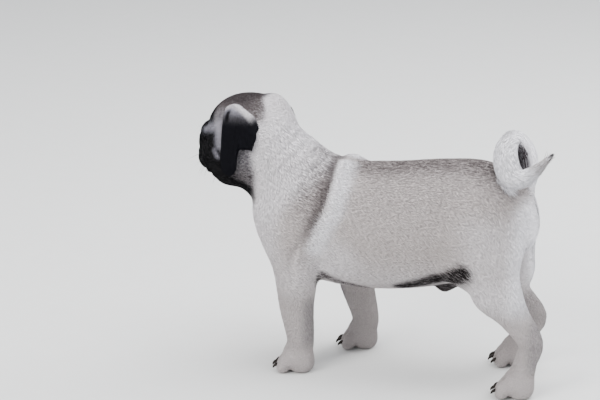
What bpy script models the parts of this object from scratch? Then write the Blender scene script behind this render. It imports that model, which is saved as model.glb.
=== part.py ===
"""A young male pug standing still, life size, with its head turned a little to its right.

Metres, +Z up. The dog faces -X and its left side is -Y. Landmarks are given in the dog's own frame,
where Y = 0 is the middle of the body and Z = 0 is the floor. The last step shifts everything so that
the origin is on the floor under the middle of the bounding box.

The flesh is one smooth solid: rounded muscles and swept limbs, fused where they meet. It is turned
into a mesh once and parted into named pieces with thin cuts. Ears, eyes, nose and tail are made on
their own and trimmed where they meet the flesh.
"""

import math
from functools import lru_cache

import bmesh
import bpy
import numpy as np
from mathutils import Matrix, Vector

LEFT, RIGHT = -1.0, 1.0  # sign of Y on each side of the body
SIDES = (LEFT, RIGHT)
GAP = 0.0003  # clearance between touching pieces

# Driving sizes of the body
WITHERS = 0.258  # height of the shoulders above the floor
CHEST_RADIUS = 0.078
CHEST_FLATNESS = 0.92  # width of the trunk against its depth
BODY_CELL = 0.0085  # mesh size on the trunk and legs
HEAD_CELL = 0.0020
BODY_FACETS = 4600  # triangles of the body before it is parted
HEAD_FACETS = 4000

# Driving sizes of the head, in its own frame: forward, left, up from the middle of the skull
HEAD_CENTRE = Vector((-0.168, 0.007, 0.271))
HEAD_TURN = math.radians(26)  # towards the dog's right
HEAD_LIFT = math.radians(-5)
EYE_RADIUS = 0.0115
EYE_CENTRE = Vector((0.0395, 0.0315, -0.001))
NOSE_CENTRE = Vector((0.0662, 0.0, -0.0085))

# Where head, neck and torso are parted: a point (x, z) of each plane and its normal
HEAD_PLANE = ((-0.109, 0.300), (-0.857, 0.514))
NECK_PLANE = ((-0.064, 0.262), (-0.664, 0.748))

# Driving sizes of the limbs
PAW_LENGTH = 0.046
PAW_WIDTH = 0.040
PAW_HEIGHT = 0.026
TOE_RADIUS = 0.0078
CLAW_LENGTH = 0.008
PAW_TOP = 0.030  # height at which the paws are parted from the legs

# Driving sizes of the ears, offsets from the head's surface
FLAP_OUTSIDE = 0.0068
FLAP_INSIDE = 0.0030
FLAP_ROOT = -0.0040
EAR_FRONT = -0.011
TUCK = 0.64  # the right ear is drawn in, its breadth against the left's
PRICK = 0.007  # and brought forward

# The tail's curl, each station (x, y, z, radius) from the rump to the tip
TAIL = [
    (0.163, 0.004, 0.226, 0.0135),
    (0.1735, 0.007, 0.243, 0.0128),
    (0.1775, 0.009, 0.262, 0.0120),
    (0.1735, 0.009, 0.283, 0.0118),
    (0.163, 0.003, 0.2970, 0.0118),
    (0.153, -0.008, 0.2890, 0.0118),
    (0.154, -0.0200, 0.2750, 0.0113),
    (0.163, -0.0290, 0.2650, 0.0104),
    (0.178, -0.0320, 0.2640, 0.0090),
    (0.194, -0.0300, 0.2735, 0.0065),
    (0.2125, -0.0270, 0.2920, 0.0010),
]
TAIL_CUTS = (0.36, 0.72)  # shares of the tail's length where it is parted

COLOURS = {
    "fawn_coat": ((0.56, 0.47, 0.39), 0.8),
    "pale_coat": ((0.74, 0.69, 0.62), 0.8),
    "black_mask": ((0.02, 0.018, 0.02), 0.7),
    "nose_leather": ((0.012, 0.011, 0.012), 0.45),
    "eye_brown": ((0.035, 0.016, 0.008), 0.08),
}


def clear_scene():
    for old in list(bpy.data.objects):
        bpy.data.objects.remove(old)


# Solid shapes as distance fields: negative inside, zero on the surface


def ball(points, centre, radii, turn=None):
    """An ellipsoid. turn is a 3x3 matrix whose columns are its axes."""
    offset = points - np.asarray(centre, float)
    if turn is not None:
        offset = offset @ turn
    radii = np.asarray(radii, float)
    near = np.linalg.norm(offset / radii, axis=1)
    steep = np.linalg.norm(offset / radii**2, axis=1)
    return near * (near - 1.0) / np.maximum(steep, 1e-9)


def smooth_path(stations, steps):
    """Catmull-Rom curve through stations, each a row of a point and its radius."""
    rows = np.asarray(stations, float)
    rows = np.vstack([2 * rows[0] - rows[1], rows, 2 * rows[-1] - rows[-2]])
    out = []
    for i in range(1, len(rows) - 2):
        for j in range(steps):
            t = j / steps
            out.append(
                0.5
                * (
                    2 * rows[i]
                    + (rows[i + 1] - rows[i - 1]) * t
                    + (2 * rows[i - 1] - 5 * rows[i] + 4 * rows[i + 1] - rows[i + 2]) * t**2
                    + (3 * rows[i] - rows[i - 1] - 3 * rows[i + 1] + rows[i + 2]) * t**3
                )
            )
    out.append(rows[-2])
    return np.array(out)


def sweep(points, stations, flatness=1.0, steps=4, reach=0.032):
    """A round limb through stations (x, y, z, radius), worked out only within reach of it.

    flatness under 1 narrows it sideways.
    """
    path = smooth_path(stations, steps)
    edge = path[:, 3:].max() + reach
    close = np.all(
        (points > path[:, :3].min(axis=0) - edge) & (points < path[:, :3].max(axis=0) + edge), axis=1
    )
    squash = np.array([1.0, flatness, 1.0])
    at = points[close] / squash
    best = np.full(len(at), 1.0)
    for start, end in zip(path[:-1], path[1:]):
        a, b = start[:3] / squash, end[:3] / squash
        along = b - a
        t = np.clip((at - a) @ along / max(along @ along, 1e-12), 0.0, 1.0)
        off = np.linalg.norm(at - a - t[:, None] * along, axis=1)
        best = np.minimum(best, off - (start[3] + t * (end[3] - start[3])))
    result = np.ones(len(points))
    result[close] = best * min(1.0, flatness)
    return result


def fuse(first, second, blend):
    """Smooth union: blend is how far the fillet between the two reaches."""
    share = np.clip(0.5 + 0.5 * (second - first) / blend, 0.0, 1.0)
    return second + (first - second) * share - blend * share * (1.0 - share)


def carve(solid, tool, blend):
    """Smooth cut of tool out of solid."""
    return -fuse(-solid, tool, blend)


# The head's own frame

FORWARD = Vector(
    (
        -math.cos(HEAD_TURN) * math.cos(HEAD_LIFT),
        math.sin(HEAD_TURN) * math.cos(HEAD_LIFT),
        math.sin(HEAD_LIFT),
    )
)
HEAD_LEFT = Vector((0, 0, 1)).cross(FORWARD).normalized()
HEAD_UP = FORWARD.cross(HEAD_LEFT)
HEAD_AXES = np.array([FORWARD, HEAD_LEFT, HEAD_UP]).T


def head_to_dog(local):
    """A point of the head's frame in the dog's frame."""
    return HEAD_CENTRE + Vector(HEAD_AXES @ np.array(local, float))


def dog_to_head(points):
    return (points - np.array(HEAD_CENTRE)) @ HEAD_AXES


def eye_axes(side):
    """The eye's place in the head's frame and its axes: gaze, across, up."""
    gaze = Vector((0.87, 0.49 * side, 0.03)).normalized()
    across = Vector((0, 0, 1)).cross(gaze).normalized()
    centre = Vector((EYE_CENTRE.x, EYE_CENTRE.y * side, EYE_CENTRE.z))
    return centre, np.array([gaze, across, gaze.cross(across)]).T


def smooth_head(points):
    """The skull, muzzle, cheeks and lids. points are in the head's frame."""
    skull = ball(points, (-0.012, 0, 0.010), (0.052, 0.050, 0.046))
    brow = ball(points, (0.013, 0, 0.013), (0.036, 0.041, 0.036))
    solid = fuse(skull, brow, 0.020)
    muzzle = ball(points, (0.034, 0, -0.020), (0.030, 0.034, 0.025))
    solid = fuse(solid, muzzle, 0.012)
    chin = ball(points, (0.045, 0, -0.0435), (0.0165, 0.0205, 0.0105))
    solid = fuse(solid, chin, 0.006)
    throat = ball(points, (-0.018, 0, -0.036), (0.036, 0.036, 0.0305))
    solid = fuse(solid, throat, 0.020)
    for side in SIDES:
        cheek = ball(points, (0.002, 0.030 * side, -0.014), (0.041, 0.027, 0.036))
        solid = fuse(solid, cheek, 0.014)
        jaw = sweep(
            points,
            [(0.042, 0.010 * side, -0.042, 0.010), (0.018, 0.025 * side, -0.042, 0.0115),
             (-0.008, 0.031 * side, -0.034, 0.015)],
            reach=0.011,
        )
        solid = fuse(solid, jaw, 0.010)
        flew = ball(points, (0.0502, 0.0165 * side, -0.0245), (0.0185, 0.0175, 0.0170))
        solid = fuse(solid, flew, 0.005)
        centre, axes = eye_axes(side)
        lids = ball(points, centre, (EYE_RADIUS + 0.0026, EYE_RADIUS + 0.0040, EYE_RADIUS + 0.0030), axes)
        solid = fuse(solid, lids, 0.005)
    return solid


def laid_on_head(stations, rise):
    """Stations moved onto the smooth head, and out from it by rise times their radius."""
    rows = np.array(stations, float)
    spots = settle(smooth_head, rows[:, :3], rounds=8)
    out = gradient(smooth_head, spots)
    out /= np.linalg.norm(out, axis=1, keepdims=True)
    return np.hstack([spots + out * rise * rows[:, 3:], rows[:, 3:]])


@lru_cache(maxsize=None)
def face_folds():
    """Rows of stations for the raised folds of brow, nose and cheek."""
    folds = []
    for side in SIDES:
        brow = [(0.026, 0.047 * side, 0.006, 0.0030), (0.038, 0.041 * side, 0.015, 0.0044),
                (0.047, 0.029 * side, 0.019, 0.0050), (0.050, 0.017 * side, 0.018, 0.0046),
                (0.051, 0.007 * side, 0.024, 0.0032)]
        nose = [(0.057, 0.000, 0.0060, 0.0064), (0.056, 0.010 * side, 0.0040, 0.0060),
                (0.054, 0.020 * side, -0.0045, 0.0046), (0.051, 0.028 * side, -0.0145, 0.0040),
                (0.041, 0.040 * side, -0.0190, 0.0044), (0.024, 0.049 * side, -0.0180, 0.0034)]
        cheek = [(0.030, 0.049 * side, -0.004, 0.0024), (0.024, 0.053 * side, -0.018, 0.0036),
                 (0.024, 0.048 * side, -0.033, 0.0034)]
        folds += [laid_on_head(brow, 0.15), laid_on_head(nose, 0.10), laid_on_head(cheek, -0.30)]
    return folds


@lru_cache(maxsize=None)
def face_creases():
    """Rows of stations for the mouth line, the wrinkles, the thumb mark and the philtrum."""
    creases = [
        laid_on_head([(0.052, 0, 0.020, 0.0020), (0.047, 0, 0.028, 0.0018), (0.040, 0, 0.040, 0.0012)], 0.0),
        laid_on_head([(0.064, 0, -0.019, 0.0018), (0.066, 0, -0.026, 0.0020), (0.062, 0, -0.036, 0.0020)], 0.0),
    ]
    for side in SIDES:
        mouth = [(0.062, 0.000, -0.0350, 0.0018), (0.0600, 0.010 * side, -0.0390, 0.0022),
                 (0.0520, 0.023 * side, -0.0425, 0.0024), (0.0380, 0.034 * side, -0.0410, 0.0022),
                 (0.0230, 0.043 * side, -0.0350, 0.0010)]
        creases.append(laid_on_head(mouth, 0.1))
        for rise, span in ((0.027, 0.030), (0.036, 0.024), (0.044, 0.016)):
            wrinkle = [(0.048, 0.003 * side, rise - 0.002, 0.0014), (0.044, 0.5 * span * side, rise + 0.002, 0.0021),
                       (0.034, span * side, rise - 0.003, 0.0008)]
            creases.append(laid_on_head(wrinkle, 0.1))
    return creases


def head_field(points):
    """The whole head: the smooth one with its folds, creases and eye openings."""
    solid = smooth_head(points)
    for fold in face_folds():
        solid = fuse(solid, sweep(points, fold, reach=0.007), 0.0045)
    for crease in face_creases():
        solid = carve(solid, sweep(points, crease, reach=0.005), 0.003)
    for side in SIDES:
        centre, axes = eye_axes(side)
        opening = np.array(centre) + axes[:, 0] * (EYE_RADIUS + 0.0010)
        solid = carve(solid, ball(points, opening, (0.0080, 0.0114, 0.0094), axes), 0.0016)
    return solid


def nose_field(points):
    """The nose leather without its nostrils. points are in the head's frame."""
    pad = ball(points, NOSE_CENTRE, (0.0068, 0.0118, 0.0078))
    for side in SIDES:
        wing = ball(points, (NOSE_CENTRE.x - 0.0010, 0.0076 * side, NOSE_CENTRE.z - 0.0010),
                    (0.0062, 0.0056, 0.0060))
        pad = fuse(pad, wing, 0.003)
    return pad


def nostril_field(points):
    """The nose leather with its nostrils."""
    solid = nose_field(points)
    x, z = NOSE_CENTRE.x, NOSE_CENTRE.z
    for side in SIDES:
        nostril = sweep(
            points,
            [(x + 0.0055, 0.0045 * side, z + 0.0002, 0.0021), (x + 0.0044, 0.0078 * side, z - 0.0006, 0.0022),
             (x + 0.0020, 0.0118 * side, z - 0.0030, 0.0014)],
            reach=0.004,
        )
        solid = carve(solid, nostril, 0.0012)
    return solid


# Limbs: each is a list of stations (x, y, z, radius), top to bottom


def fore_limb(side, elbow_x, wrist_x):
    """Shoulder point, elbow, forearm and pastern."""
    y = 0.050 * side
    return [
        (-0.100, 0.044 * side, 0.178, 0.0325),
        (elbow_x, y, 0.128, 0.0275),
        (elbow_x * 0.5 + wrist_x * 0.5 - 0.002, y, 0.084, 0.0222),
        (wrist_x, y, 0.042, 0.0175),
        (wrist_x - 0.003, y, 0.026, 0.0168),
    ]


def hind_limb(side, knee, shank, hock, pastern, heel):
    """Knee, second thigh, hock and rear pastern, each given as (x, z)."""
    y = 0.050 * side
    radii = (0.0260, 0.0188, 0.0158, 0.0146, 0.0156)
    places = (knee, shank, hock, pastern, heel)
    return [(x, y, z, radius) for (x, z), radius in zip(places, radii)]


LIMBS = {
    "foreleg_left": fore_limb(LEFT, -0.090, -0.084),
    "foreleg_right": fore_limb(RIGHT, -0.050, -0.031),
    "hindleg_left": hind_limb(
        LEFT, (0.157, 0.124), (0.179, 0.097), (0.199, 0.069), (0.194, 0.045), (0.189, 0.026)
    ),
    "hindleg_right": hind_limb(
        RIGHT, (0.140, 0.124), (0.158, 0.095), (0.183, 0.066), (0.172, 0.044), (0.162, 0.026)
    ),
}
PAWS = {
    "forepaw_left": (Vector((-0.091, -0.050, 0.0)), math.radians(4)),
    "forepaw_right": (Vector((-0.040, 0.050, 0.0)), math.radians(-4)),
    "hindpaw_left": (Vector((0.181, -0.051, 0.0)), math.radians(8)),
    "hindpaw_right": (Vector((0.155, 0.051, 0.0)), math.radians(-6)),
}


def toe_stations(toe):
    """Where a toe runs, in the paw's frame: forward, left, up from the middle of the sole."""
    sideways = (toe - 1.5) * PAW_WIDTH * 0.245
    reach = PAW_LENGTH * (0.5 - 0.05 * (toe - 1.5) ** 2) - TOE_RADIUS
    return [
        (-0.004, sideways * 0.6, PAW_HEIGHT * 0.62, TOE_RADIUS),
        (reach * 0.62, sideways, PAW_HEIGHT * 0.55, TOE_RADIUS * 1.08),
        (reach, sideways * 1.06, TOE_RADIUS * 0.85, TOE_RADIUS),
    ]


def paw_axes(turn):
    forward = Vector((-math.cos(turn), math.sin(turn), 0))
    left = Vector((0, 0, 1)).cross(forward)
    return np.array([forward, left, Vector((0, 0, 1))]).T


def paw_field(points):
    """One paw in its own frame: the heel and four toes, reaching a little below the floor."""
    heel = ball(points, (-0.008, 0, PAW_HEIGHT * 0.42), (0.0165, 0.0165, 0.0150))
    wrist = ball(points, (-0.004, 0, PAW_HEIGHT * 0.80), (0.0165, 0.0165, 0.0130))
    solid = fuse(heel, wrist, 0.010)
    toes = None
    for toe in range(4):
        one = sweep(points, toe_stations(toe), reach=0.010)
        toes = one if toes is None else fuse(toes, one, 0.0022)
    return fuse(solid, toes, 0.007)


def trunk_field(points):
    """Chest, belly and rump, and the folds of loose skin over the shoulders."""
    solid = sweep(
        points,
        [(-0.0935, 0, 0.186, 0.060), (-0.060, 0, 0.178, 0.073), (-0.015, 0, 0.178, CHEST_RADIUS),
         (0.035, 0, 0.183, CHEST_RADIUS), (0.085, 0, 0.193, 0.075), (0.124, 0, 0.2025, 0.0660),
         (0.1455, 0, 0.197, 0.049)],
        flatness=CHEST_FLATNESS,
    )
    breast = ball(points, (-0.0970, 0, 0.177), (0.0395, 0.050, 0.050))
    solid = fuse(solid, breast, 0.030)
    withers = ball(points, (-0.040, 0, WITHERS - 0.016), (0.020, 0.034, 0.015))
    solid = fuse(solid, withers, 0.012)
    sheath = sweep(points, [(0.106, 0, 0.129, 0.0125), (0.082, 0, 0.1135, 0.0115)], steps=1)
    solid = fuse(solid, sheath, 0.010)
    for side in SIDES:
        shoulder = sweep(
            points,
            [(-0.050, 0.034 * side, 0.218, 0.026), (-0.085, 0.042 * side, 0.190, 0.034),
             (-0.0985, 0.044 * side, 0.170, 0.0305)],
        )
        solid = fuse(solid, shoulder, 0.022)
        haunch = ball(points, (0.132, 0.040 * side, 0.180), (0.0435, 0.034, 0.061))
        solid = fuse(solid, haunch, 0.024)
        thigh = sweep(
            points,
            [(0.148, 0.044 * side, 0.165, 0.0315), (0.1555, 0.048 * side, 0.128, 0.0260)],
        )
        solid = fuse(solid, thigh, 0.016)
    tail_stub = sweep(points, [(0.146, 0, 0.216, 0.024), (0.166, 0.003, 0.232, 0.0150)], steps=1)
    return fuse(solid, tail_stub, 0.012)


def neck_field(points):
    back = head_to_dog((-0.024, 0, -0.008))
    solid = sweep(
        points,
        [(-0.088, 0, 0.190, 0.062), (-0.1085, 0.001, 0.2265, 0.0535), (*back, 0.046)],
    )
    nape = ball(points, (-0.1370, 0.006, 0.3005), (0.0195, 0.027, 0.0285))
    return fuse(solid, nape, 0.012)


def flesh_field(points):
    """The whole body without ears, tail, nose and eyes. points are in the dog's frame."""
    solid = fuse(trunk_field(points), neck_field(points), 0.022)
    solid = fuse(solid, head_field(dog_to_head(points)), 0.010)
    for name, stations in LIMBS.items():
        solid = fuse(solid, sweep(points, stations), 0.014)
    for centre, turn in PAWS.values():
        local = (points - np.array(centre)) @ paw_axes(turn)
        solid = fuse(solid, paw_field(local), 0.006)
    return solid


# From field to mesh


def in_chunks(field, points, chunk=200_000):
    return np.concatenate([field(points[i : i + chunk]) for i in range(0, len(points), chunk)])


def untangle(values):
    """Fills the weaker empty corner of each grid square whose signs alternate, so that the net
    made from the grid has no edge with more than two faces."""
    for _ in range(12):
        found = 0
        for first, second in ((0, 1), (0, 2), (1, 2)):
            spots = []
            for a in (0, 1):
                for b in (0, 1):
                    cut = [slice(None)] * 3
                    cut[first] = slice(a, values.shape[first] - 1 + a)
                    cut[second] = slice(b, values.shape[second] - 1 + b)
                    spots.append(values[tuple(cut)])
            inside = [v < 0 for v in spots]
            mixed = (inside[0] == inside[3]) & (inside[1] == inside[2]) & (inside[0] != inside[1])
            for at in np.argwhere(mixed):
                near = []
                for a in (0, 1):
                    for b in (0, 1):
                        place = list(at)
                        place[first] += a
                        place[second] += b
                        near.append(tuple(place))
                empty = [place for place in near if values[place] >= 0]
                if len(empty) == 2:
                    weakest = min(empty, key=lambda place: values[place])
                    values[weakest] = -1e-5 - values[weakest]
                    found += 1
        if not found:
            break


def surface_net(field, low, high, cell):
    """Vertices and quads of the field's surface, one vertex in each cell that it crosses."""
    counts = np.ceil((np.asarray(high) - np.asarray(low)) / cell).astype(int) + 1
    axes = [low[i] + cell * np.arange(counts[i]) for i in range(3)]
    grid = np.stack(np.meshgrid(*axes, indexing="ij"), axis=-1).reshape(-1, 3)
    values = in_chunks(field, grid).reshape(counts)
    untangle(values)
    corners = [(i, j, k) for i in (0, 1) for j in (0, 1) for k in (0, 1)]
    cells = counts - 1

    def corner(array, shift):
        return array[tuple(slice(s, s + n) for s, n in zip(shift, cells))]

    total = np.zeros((*cells, 3))
    hits = np.zeros(cells)
    for a in corners:
        for axis in range(3):
            if a[axis]:
                continue
            b = tuple(v + (n == axis) for n, v in enumerate(a))
            va, vb = corner(values, a), corner(values, b)
            crossed = (va < 0) != (vb < 0)
            share = np.where(crossed, va / np.where(crossed, va - vb, 1.0), 0.0)
            at = np.zeros((*cells, 3)) + np.array(a)
            at[..., axis] += share
            total += at * crossed[..., None]
            hits += crossed
    live = hits > 0
    index = np.full(cells, -1)
    index[live] = np.arange(live.sum())
    where = np.argwhere(live)
    vertices = np.asarray(low) + cell * (where + total[live] / hits[live][:, None])
    quads = []
    for axis in range(3):
        u, v = (axis + 1) % 3, (axis + 2) % 3
        first = [slice(1, n) for n in cells]
        first[axis] = slice(0, cells[axis])
        second = list(first)
        second[axis] = slice(1, cells[axis] + 1)
        va, vb = values[tuple(first)], values[tuple(second)]
        for entering, flip in (((va < 0) & (vb >= 0), False), ((va >= 0) & (vb < 0), True)):
            base = np.argwhere(entering) + np.array([0 if n == axis else 1 for n in range(3)])
            ring = []
            for du, dv in ((1, 1), (0, 1), (0, 0), (1, 0)):
                cell_at = base.copy()
                cell_at[:, u] -= du
                cell_at[:, v] -= dv
                ring.append(index[tuple(cell_at.T)])
            quad = np.stack(ring, axis=1)
            quads.append(quad[:, ::-1] if flip else quad)
    return vertices, np.concatenate(quads)


def gradient(field, points, step=0.0004):
    """Direction in which the field grows fastest."""
    probes = [points + step * np.eye(3)[n] for n in range(3)]
    backs = [points - step * np.eye(3)[n] for n in range(3)]
    slope = np.stack([field(a) - field(b) for a, b in zip(probes, backs)], axis=1)
    return slope / (2 * step)


def settle(field, points, rounds=3):
    """Moves points onto the field's surface."""
    for _ in range(rounds):
        slope = gradient(field, points)
        size = np.maximum((slope**2).sum(axis=1), 0.04)
        points = points - np.clip(field(points) / size, -0.004, 0.004)[:, None] * slope
    return points


def fill(name, mesh, slot):
    """Makes an object of a mesh and gives it a material of its own."""
    obj = bpy.data.objects.new(name, mesh)
    bpy.context.scene.collection.objects.link(obj)
    colour, rough = COLOURS[slot]
    material = bpy.data.materials.new(name + "_" + slot)
    material.use_nodes = True
    shader = material.node_tree.nodes["Principled BSDF"]
    shader.inputs["Base Color"].default_value = (*colour, 1.0)
    shader.inputs["Roughness"].default_value = rough
    mesh.materials.clear()
    mesh.materials.append(material)
    mesh.shade_smooth()
    return obj


def as_mesh(name, vertices, faces):
    """A mesh with its normals pointing out."""
    mesh = bpy.data.meshes.new(name)
    mesh.from_pydata([tuple(v) for v in vertices], [], [tuple(f) for f in faces])
    work = bmesh.new()
    work.from_mesh(mesh)
    bmesh.ops.recalc_face_normals(work, faces=work.faces[:])
    work.to_mesh(mesh)
    work.free()
    return mesh


def body_mesh():
    """The flesh as one closed mesh, finer on the paws. Its face is only rough."""
    low, high = (-0.27, -0.105, -0.012), (0.25, 0.105, 0.36)
    vertices, quads = surface_net(flesh_field, low, high, BODY_CELL)
    mesh = as_mesh("flesh", vertices, quads.tolist())
    work = bmesh.new()
    work.from_mesh(mesh)
    edges = [e for e in work.edges if max(v.co.z for v in e.verts) < PAW_TOP + 0.006]
    bmesh.ops.subdivide_edges(work, edges=edges, cuts=1, use_grid_fill=True)
    bmesh.ops.triangulate(work, faces=work.faces[:])
    places = settle(flesh_field, np.array([v.co for v in work.verts]))
    for vertex, place in zip(work.verts, places):
        vertex.co = place
    work.to_mesh(mesh)
    work.free()
    return thinned(mesh, BODY_FACETS)


def head_mesh():
    """The head as one fine closed mesh that reaches a little past the plane it is parted at."""
    point, normal = HEAD_PLANE

    def ahead_of_neck(points):
        behind = (point[0] - points[:, 0]) * normal[0] + (point[1] - points[:, 2]) * normal[1]
        return np.maximum(flesh_field(points), behind - 0.008)

    low, high = (-0.245, -0.070, 0.185), (-0.090, 0.080, 0.345)
    vertices, quads = surface_net(ahead_of_neck, low, high, HEAD_CELL)
    mesh = as_mesh("face", vertices, quads.tolist())
    return thinned(mesh, HEAD_FACETS)


def thinned(mesh, facets):
    """The same surface with fewer triangles."""
    helper = bpy.data.objects.new("helper", mesh)
    bpy.context.scene.collection.objects.link(helper)
    thin = helper.modifiers.new("thin", "DECIMATE")
    thin.ratio = min(1.0, facets / sum(len(p.vertices) - 2 for p in mesh.polygons))
    thin.use_collapse_triangulate = True
    return taken(helper)


def taken(helper):
    """The evaluated mesh of a helper object, which is then removed."""
    graph = bpy.context.evaluated_depsgraph_get()
    result = bpy.data.meshes.new_from_object(helper.evaluated_get(graph))
    bpy.data.objects.remove(helper)
    return result


def grown(mesh, margin):
    """A copy of the mesh pushed out by margin."""
    copy = mesh.copy()
    normals = [v.normal.copy() for v in mesh.vertices]
    for vertex, normal in zip(copy.vertices, normals):
        vertex.co += normal * margin
    return copy


def combined(mesh, steps):
    """Applies Boolean steps, each an operation and the mesh it is made with."""
    helper = bpy.data.objects.new("helper", mesh)
    bpy.context.scene.collection.objects.link(helper)
    tools = []
    for operation, tool_mesh in steps:
        tool = bpy.data.objects.new("tool", tool_mesh)
        bpy.context.scene.collection.objects.link(tool)
        tools.append(tool)
        step = helper.modifiers.new(operation, "BOOLEAN")
        step.operation = operation
        step.solver = "EXACT"
        step.object = tool
    result = taken(helper)
    for tool in tools:
        bpy.data.objects.remove(tool)
    return result


# Cutters: boxes whose faces part the flesh


def box(low, high, place=Matrix()):
    """A box between two corners, moved by place."""
    corners = [(x, y, z) for x in (low[0], high[0]) for y in (low[1], high[1]) for z in (low[2], high[2])]
    faces = [(0, 1, 3, 2), (4, 6, 7, 5), (0, 4, 5, 1), (2, 3, 7, 6), (0, 2, 6, 4), (1, 5, 7, 3)]
    return as_mesh("box", [place @ Vector(c) for c in corners], faces)


def half_space(point, normal, margin):
    """Everything on the side of a plane that its normal (x, z) points to, moved out by margin."""
    place = Matrix.Translation(Vector((point[0], 0, point[1]))) @ Matrix.Rotation(
        -math.atan2(normal[1], normal[0]), 4, "Y"
    )
    return box((-margin, -0.3, -0.3), (0.5, 0.3, 0.3), place)


def side_box(side, low, high, margin, floor=None):
    """A box on one side of the body, grown by margin: low and high are (x, y, z) with y outwards."""
    lo = [low[0] - margin, low[1] - margin, (low[2] - margin) if floor is None else floor]
    hi = [v + margin for v in high]
    return box((lo[0], min(side * lo[1], side * hi[1]), lo[2]),
               (hi[0], max(side * lo[1], side * hi[1]), hi[2]))


def head_half(margin):
    return half_space(*HEAD_PLANE, margin)


def neck_half(margin):
    return half_space(*NECK_PLANE, margin)


def thigh_slab(side, margin):
    """Below a slanted plane from flank to rump, outwards of the groin."""
    tilt = math.radians(-25)
    place = Matrix.Translation(Vector((0.106, 0, 0.127))) @ Matrix.Rotation(tilt, 4, "Y")
    inner, outer = sorted((side * (0.012 - margin), side * 0.12))
    return box((-0.03 - margin, inner, -0.25), (0.20, outer, margin), place)


def leg_box(name, margin):
    """Room for one leg below the body."""
    side = LEFT if "left" in name else RIGHT
    if "fore" in name:
        middle = -0.0905 if side == LEFT else -0.046
        return side_box(side, (middle - 0.040, 0.018, -0.05), (middle + 0.036, 0.12, 0.110), margin)
    return side_box(side, (0.10, 0.010, -0.05), (0.28, 0.12, 0.088), margin)


def paw_box(name, margin, floor=-0.05):
    """Room for one paw. Its bottom is the floor of the cut."""
    side = LEFT if "left" in name else RIGHT
    middle = PAWS[name.replace("leg", "paw")][0].x
    return side_box(side, (middle - 0.06, 0.001, 0.0), (middle + 0.06, 0.15, PAW_TOP), margin, floor)


# Pieces made on their own


def ring_tube(name, stations, aims, sides):
    """A closed round tube through stations (x, y, z, radius), each ring square to its aim."""
    places = [Vector(s[:3]) for s in stations]
    across = Vector((0, 1, 0))
    vertices, faces = [], []
    for place, station, aim in zip(places, stations, aims):
        along = Vector(aim).normalized()
        across = (across - along * across.dot(along)).normalized()
        other = along.cross(across)
        for j in range(sides):
            angle = 2 * math.pi * j / sides
            vertices.append(place + (across * math.cos(angle) + other * math.sin(angle)) * station[3])
    for i in range(len(places) - 1):
        for j in range(sides):
            k = (j + 1) % sides
            faces.append((i * sides + j, i * sides + k, (i + 1) * sides + k, (i + 1) * sides + j))
    last = (len(places) - 1) * sides
    faces.append(tuple(range(sides)))
    faces.append(tuple(range(last, last + sides)))
    return as_mesh(name, vertices, faces)


def along_path(path, wanted):
    """Stations at the wanted distances along a path."""
    steps = np.linalg.norm(np.diff(path[:, :3], axis=0), axis=1)
    marks = np.concatenate([[0.0], np.cumsum(steps)])
    return np.stack([np.interp(wanted, marks, path[:, n]) for n in range(4)], axis=1)


def tail_meshes():
    """The tail's three lengths, each a tube with flat ends that face each other."""
    path = smooth_path(TAIL, 12)
    length = np.linalg.norm(np.diff(path[:, :3], axis=0), axis=1).sum()
    marks = [0.0, TAIL_CUTS[0] * length, TAIL_CUTS[1] * length, length]
    meshes = {}
    for name, start, end in zip(("tail_root", "tail_curl", "tail_tip"), marks[:-1], marks[1:]):
        lead = GAP / 2 if start > 0 else 0.0
        rest = GAP / 2 if end < length else 0.0
        wanted = np.linspace(start + lead, end - rest, 12)
        aims = along_path(path, wanted + 0.001)[:, :3] - along_path(path, wanted - 0.001)[:, :3]
        meshes[name] = ring_tube(name, along_path(path, wanted), aims, 16)
    return meshes


def curve_through(stations, shares):
    """Points at the given shares of a smooth curve's length."""
    path = smooth_path([(*s, 0.0, 0.0) for s in stations], 8)
    steps = np.linalg.norm(np.diff(path, axis=0), axis=1)
    marks = np.concatenate([[0.0], np.cumsum(steps)]) / steps.sum()
    return np.stack([np.interp(shares, marks, path[:, n]) for n in range(2)], axis=1)


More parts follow.
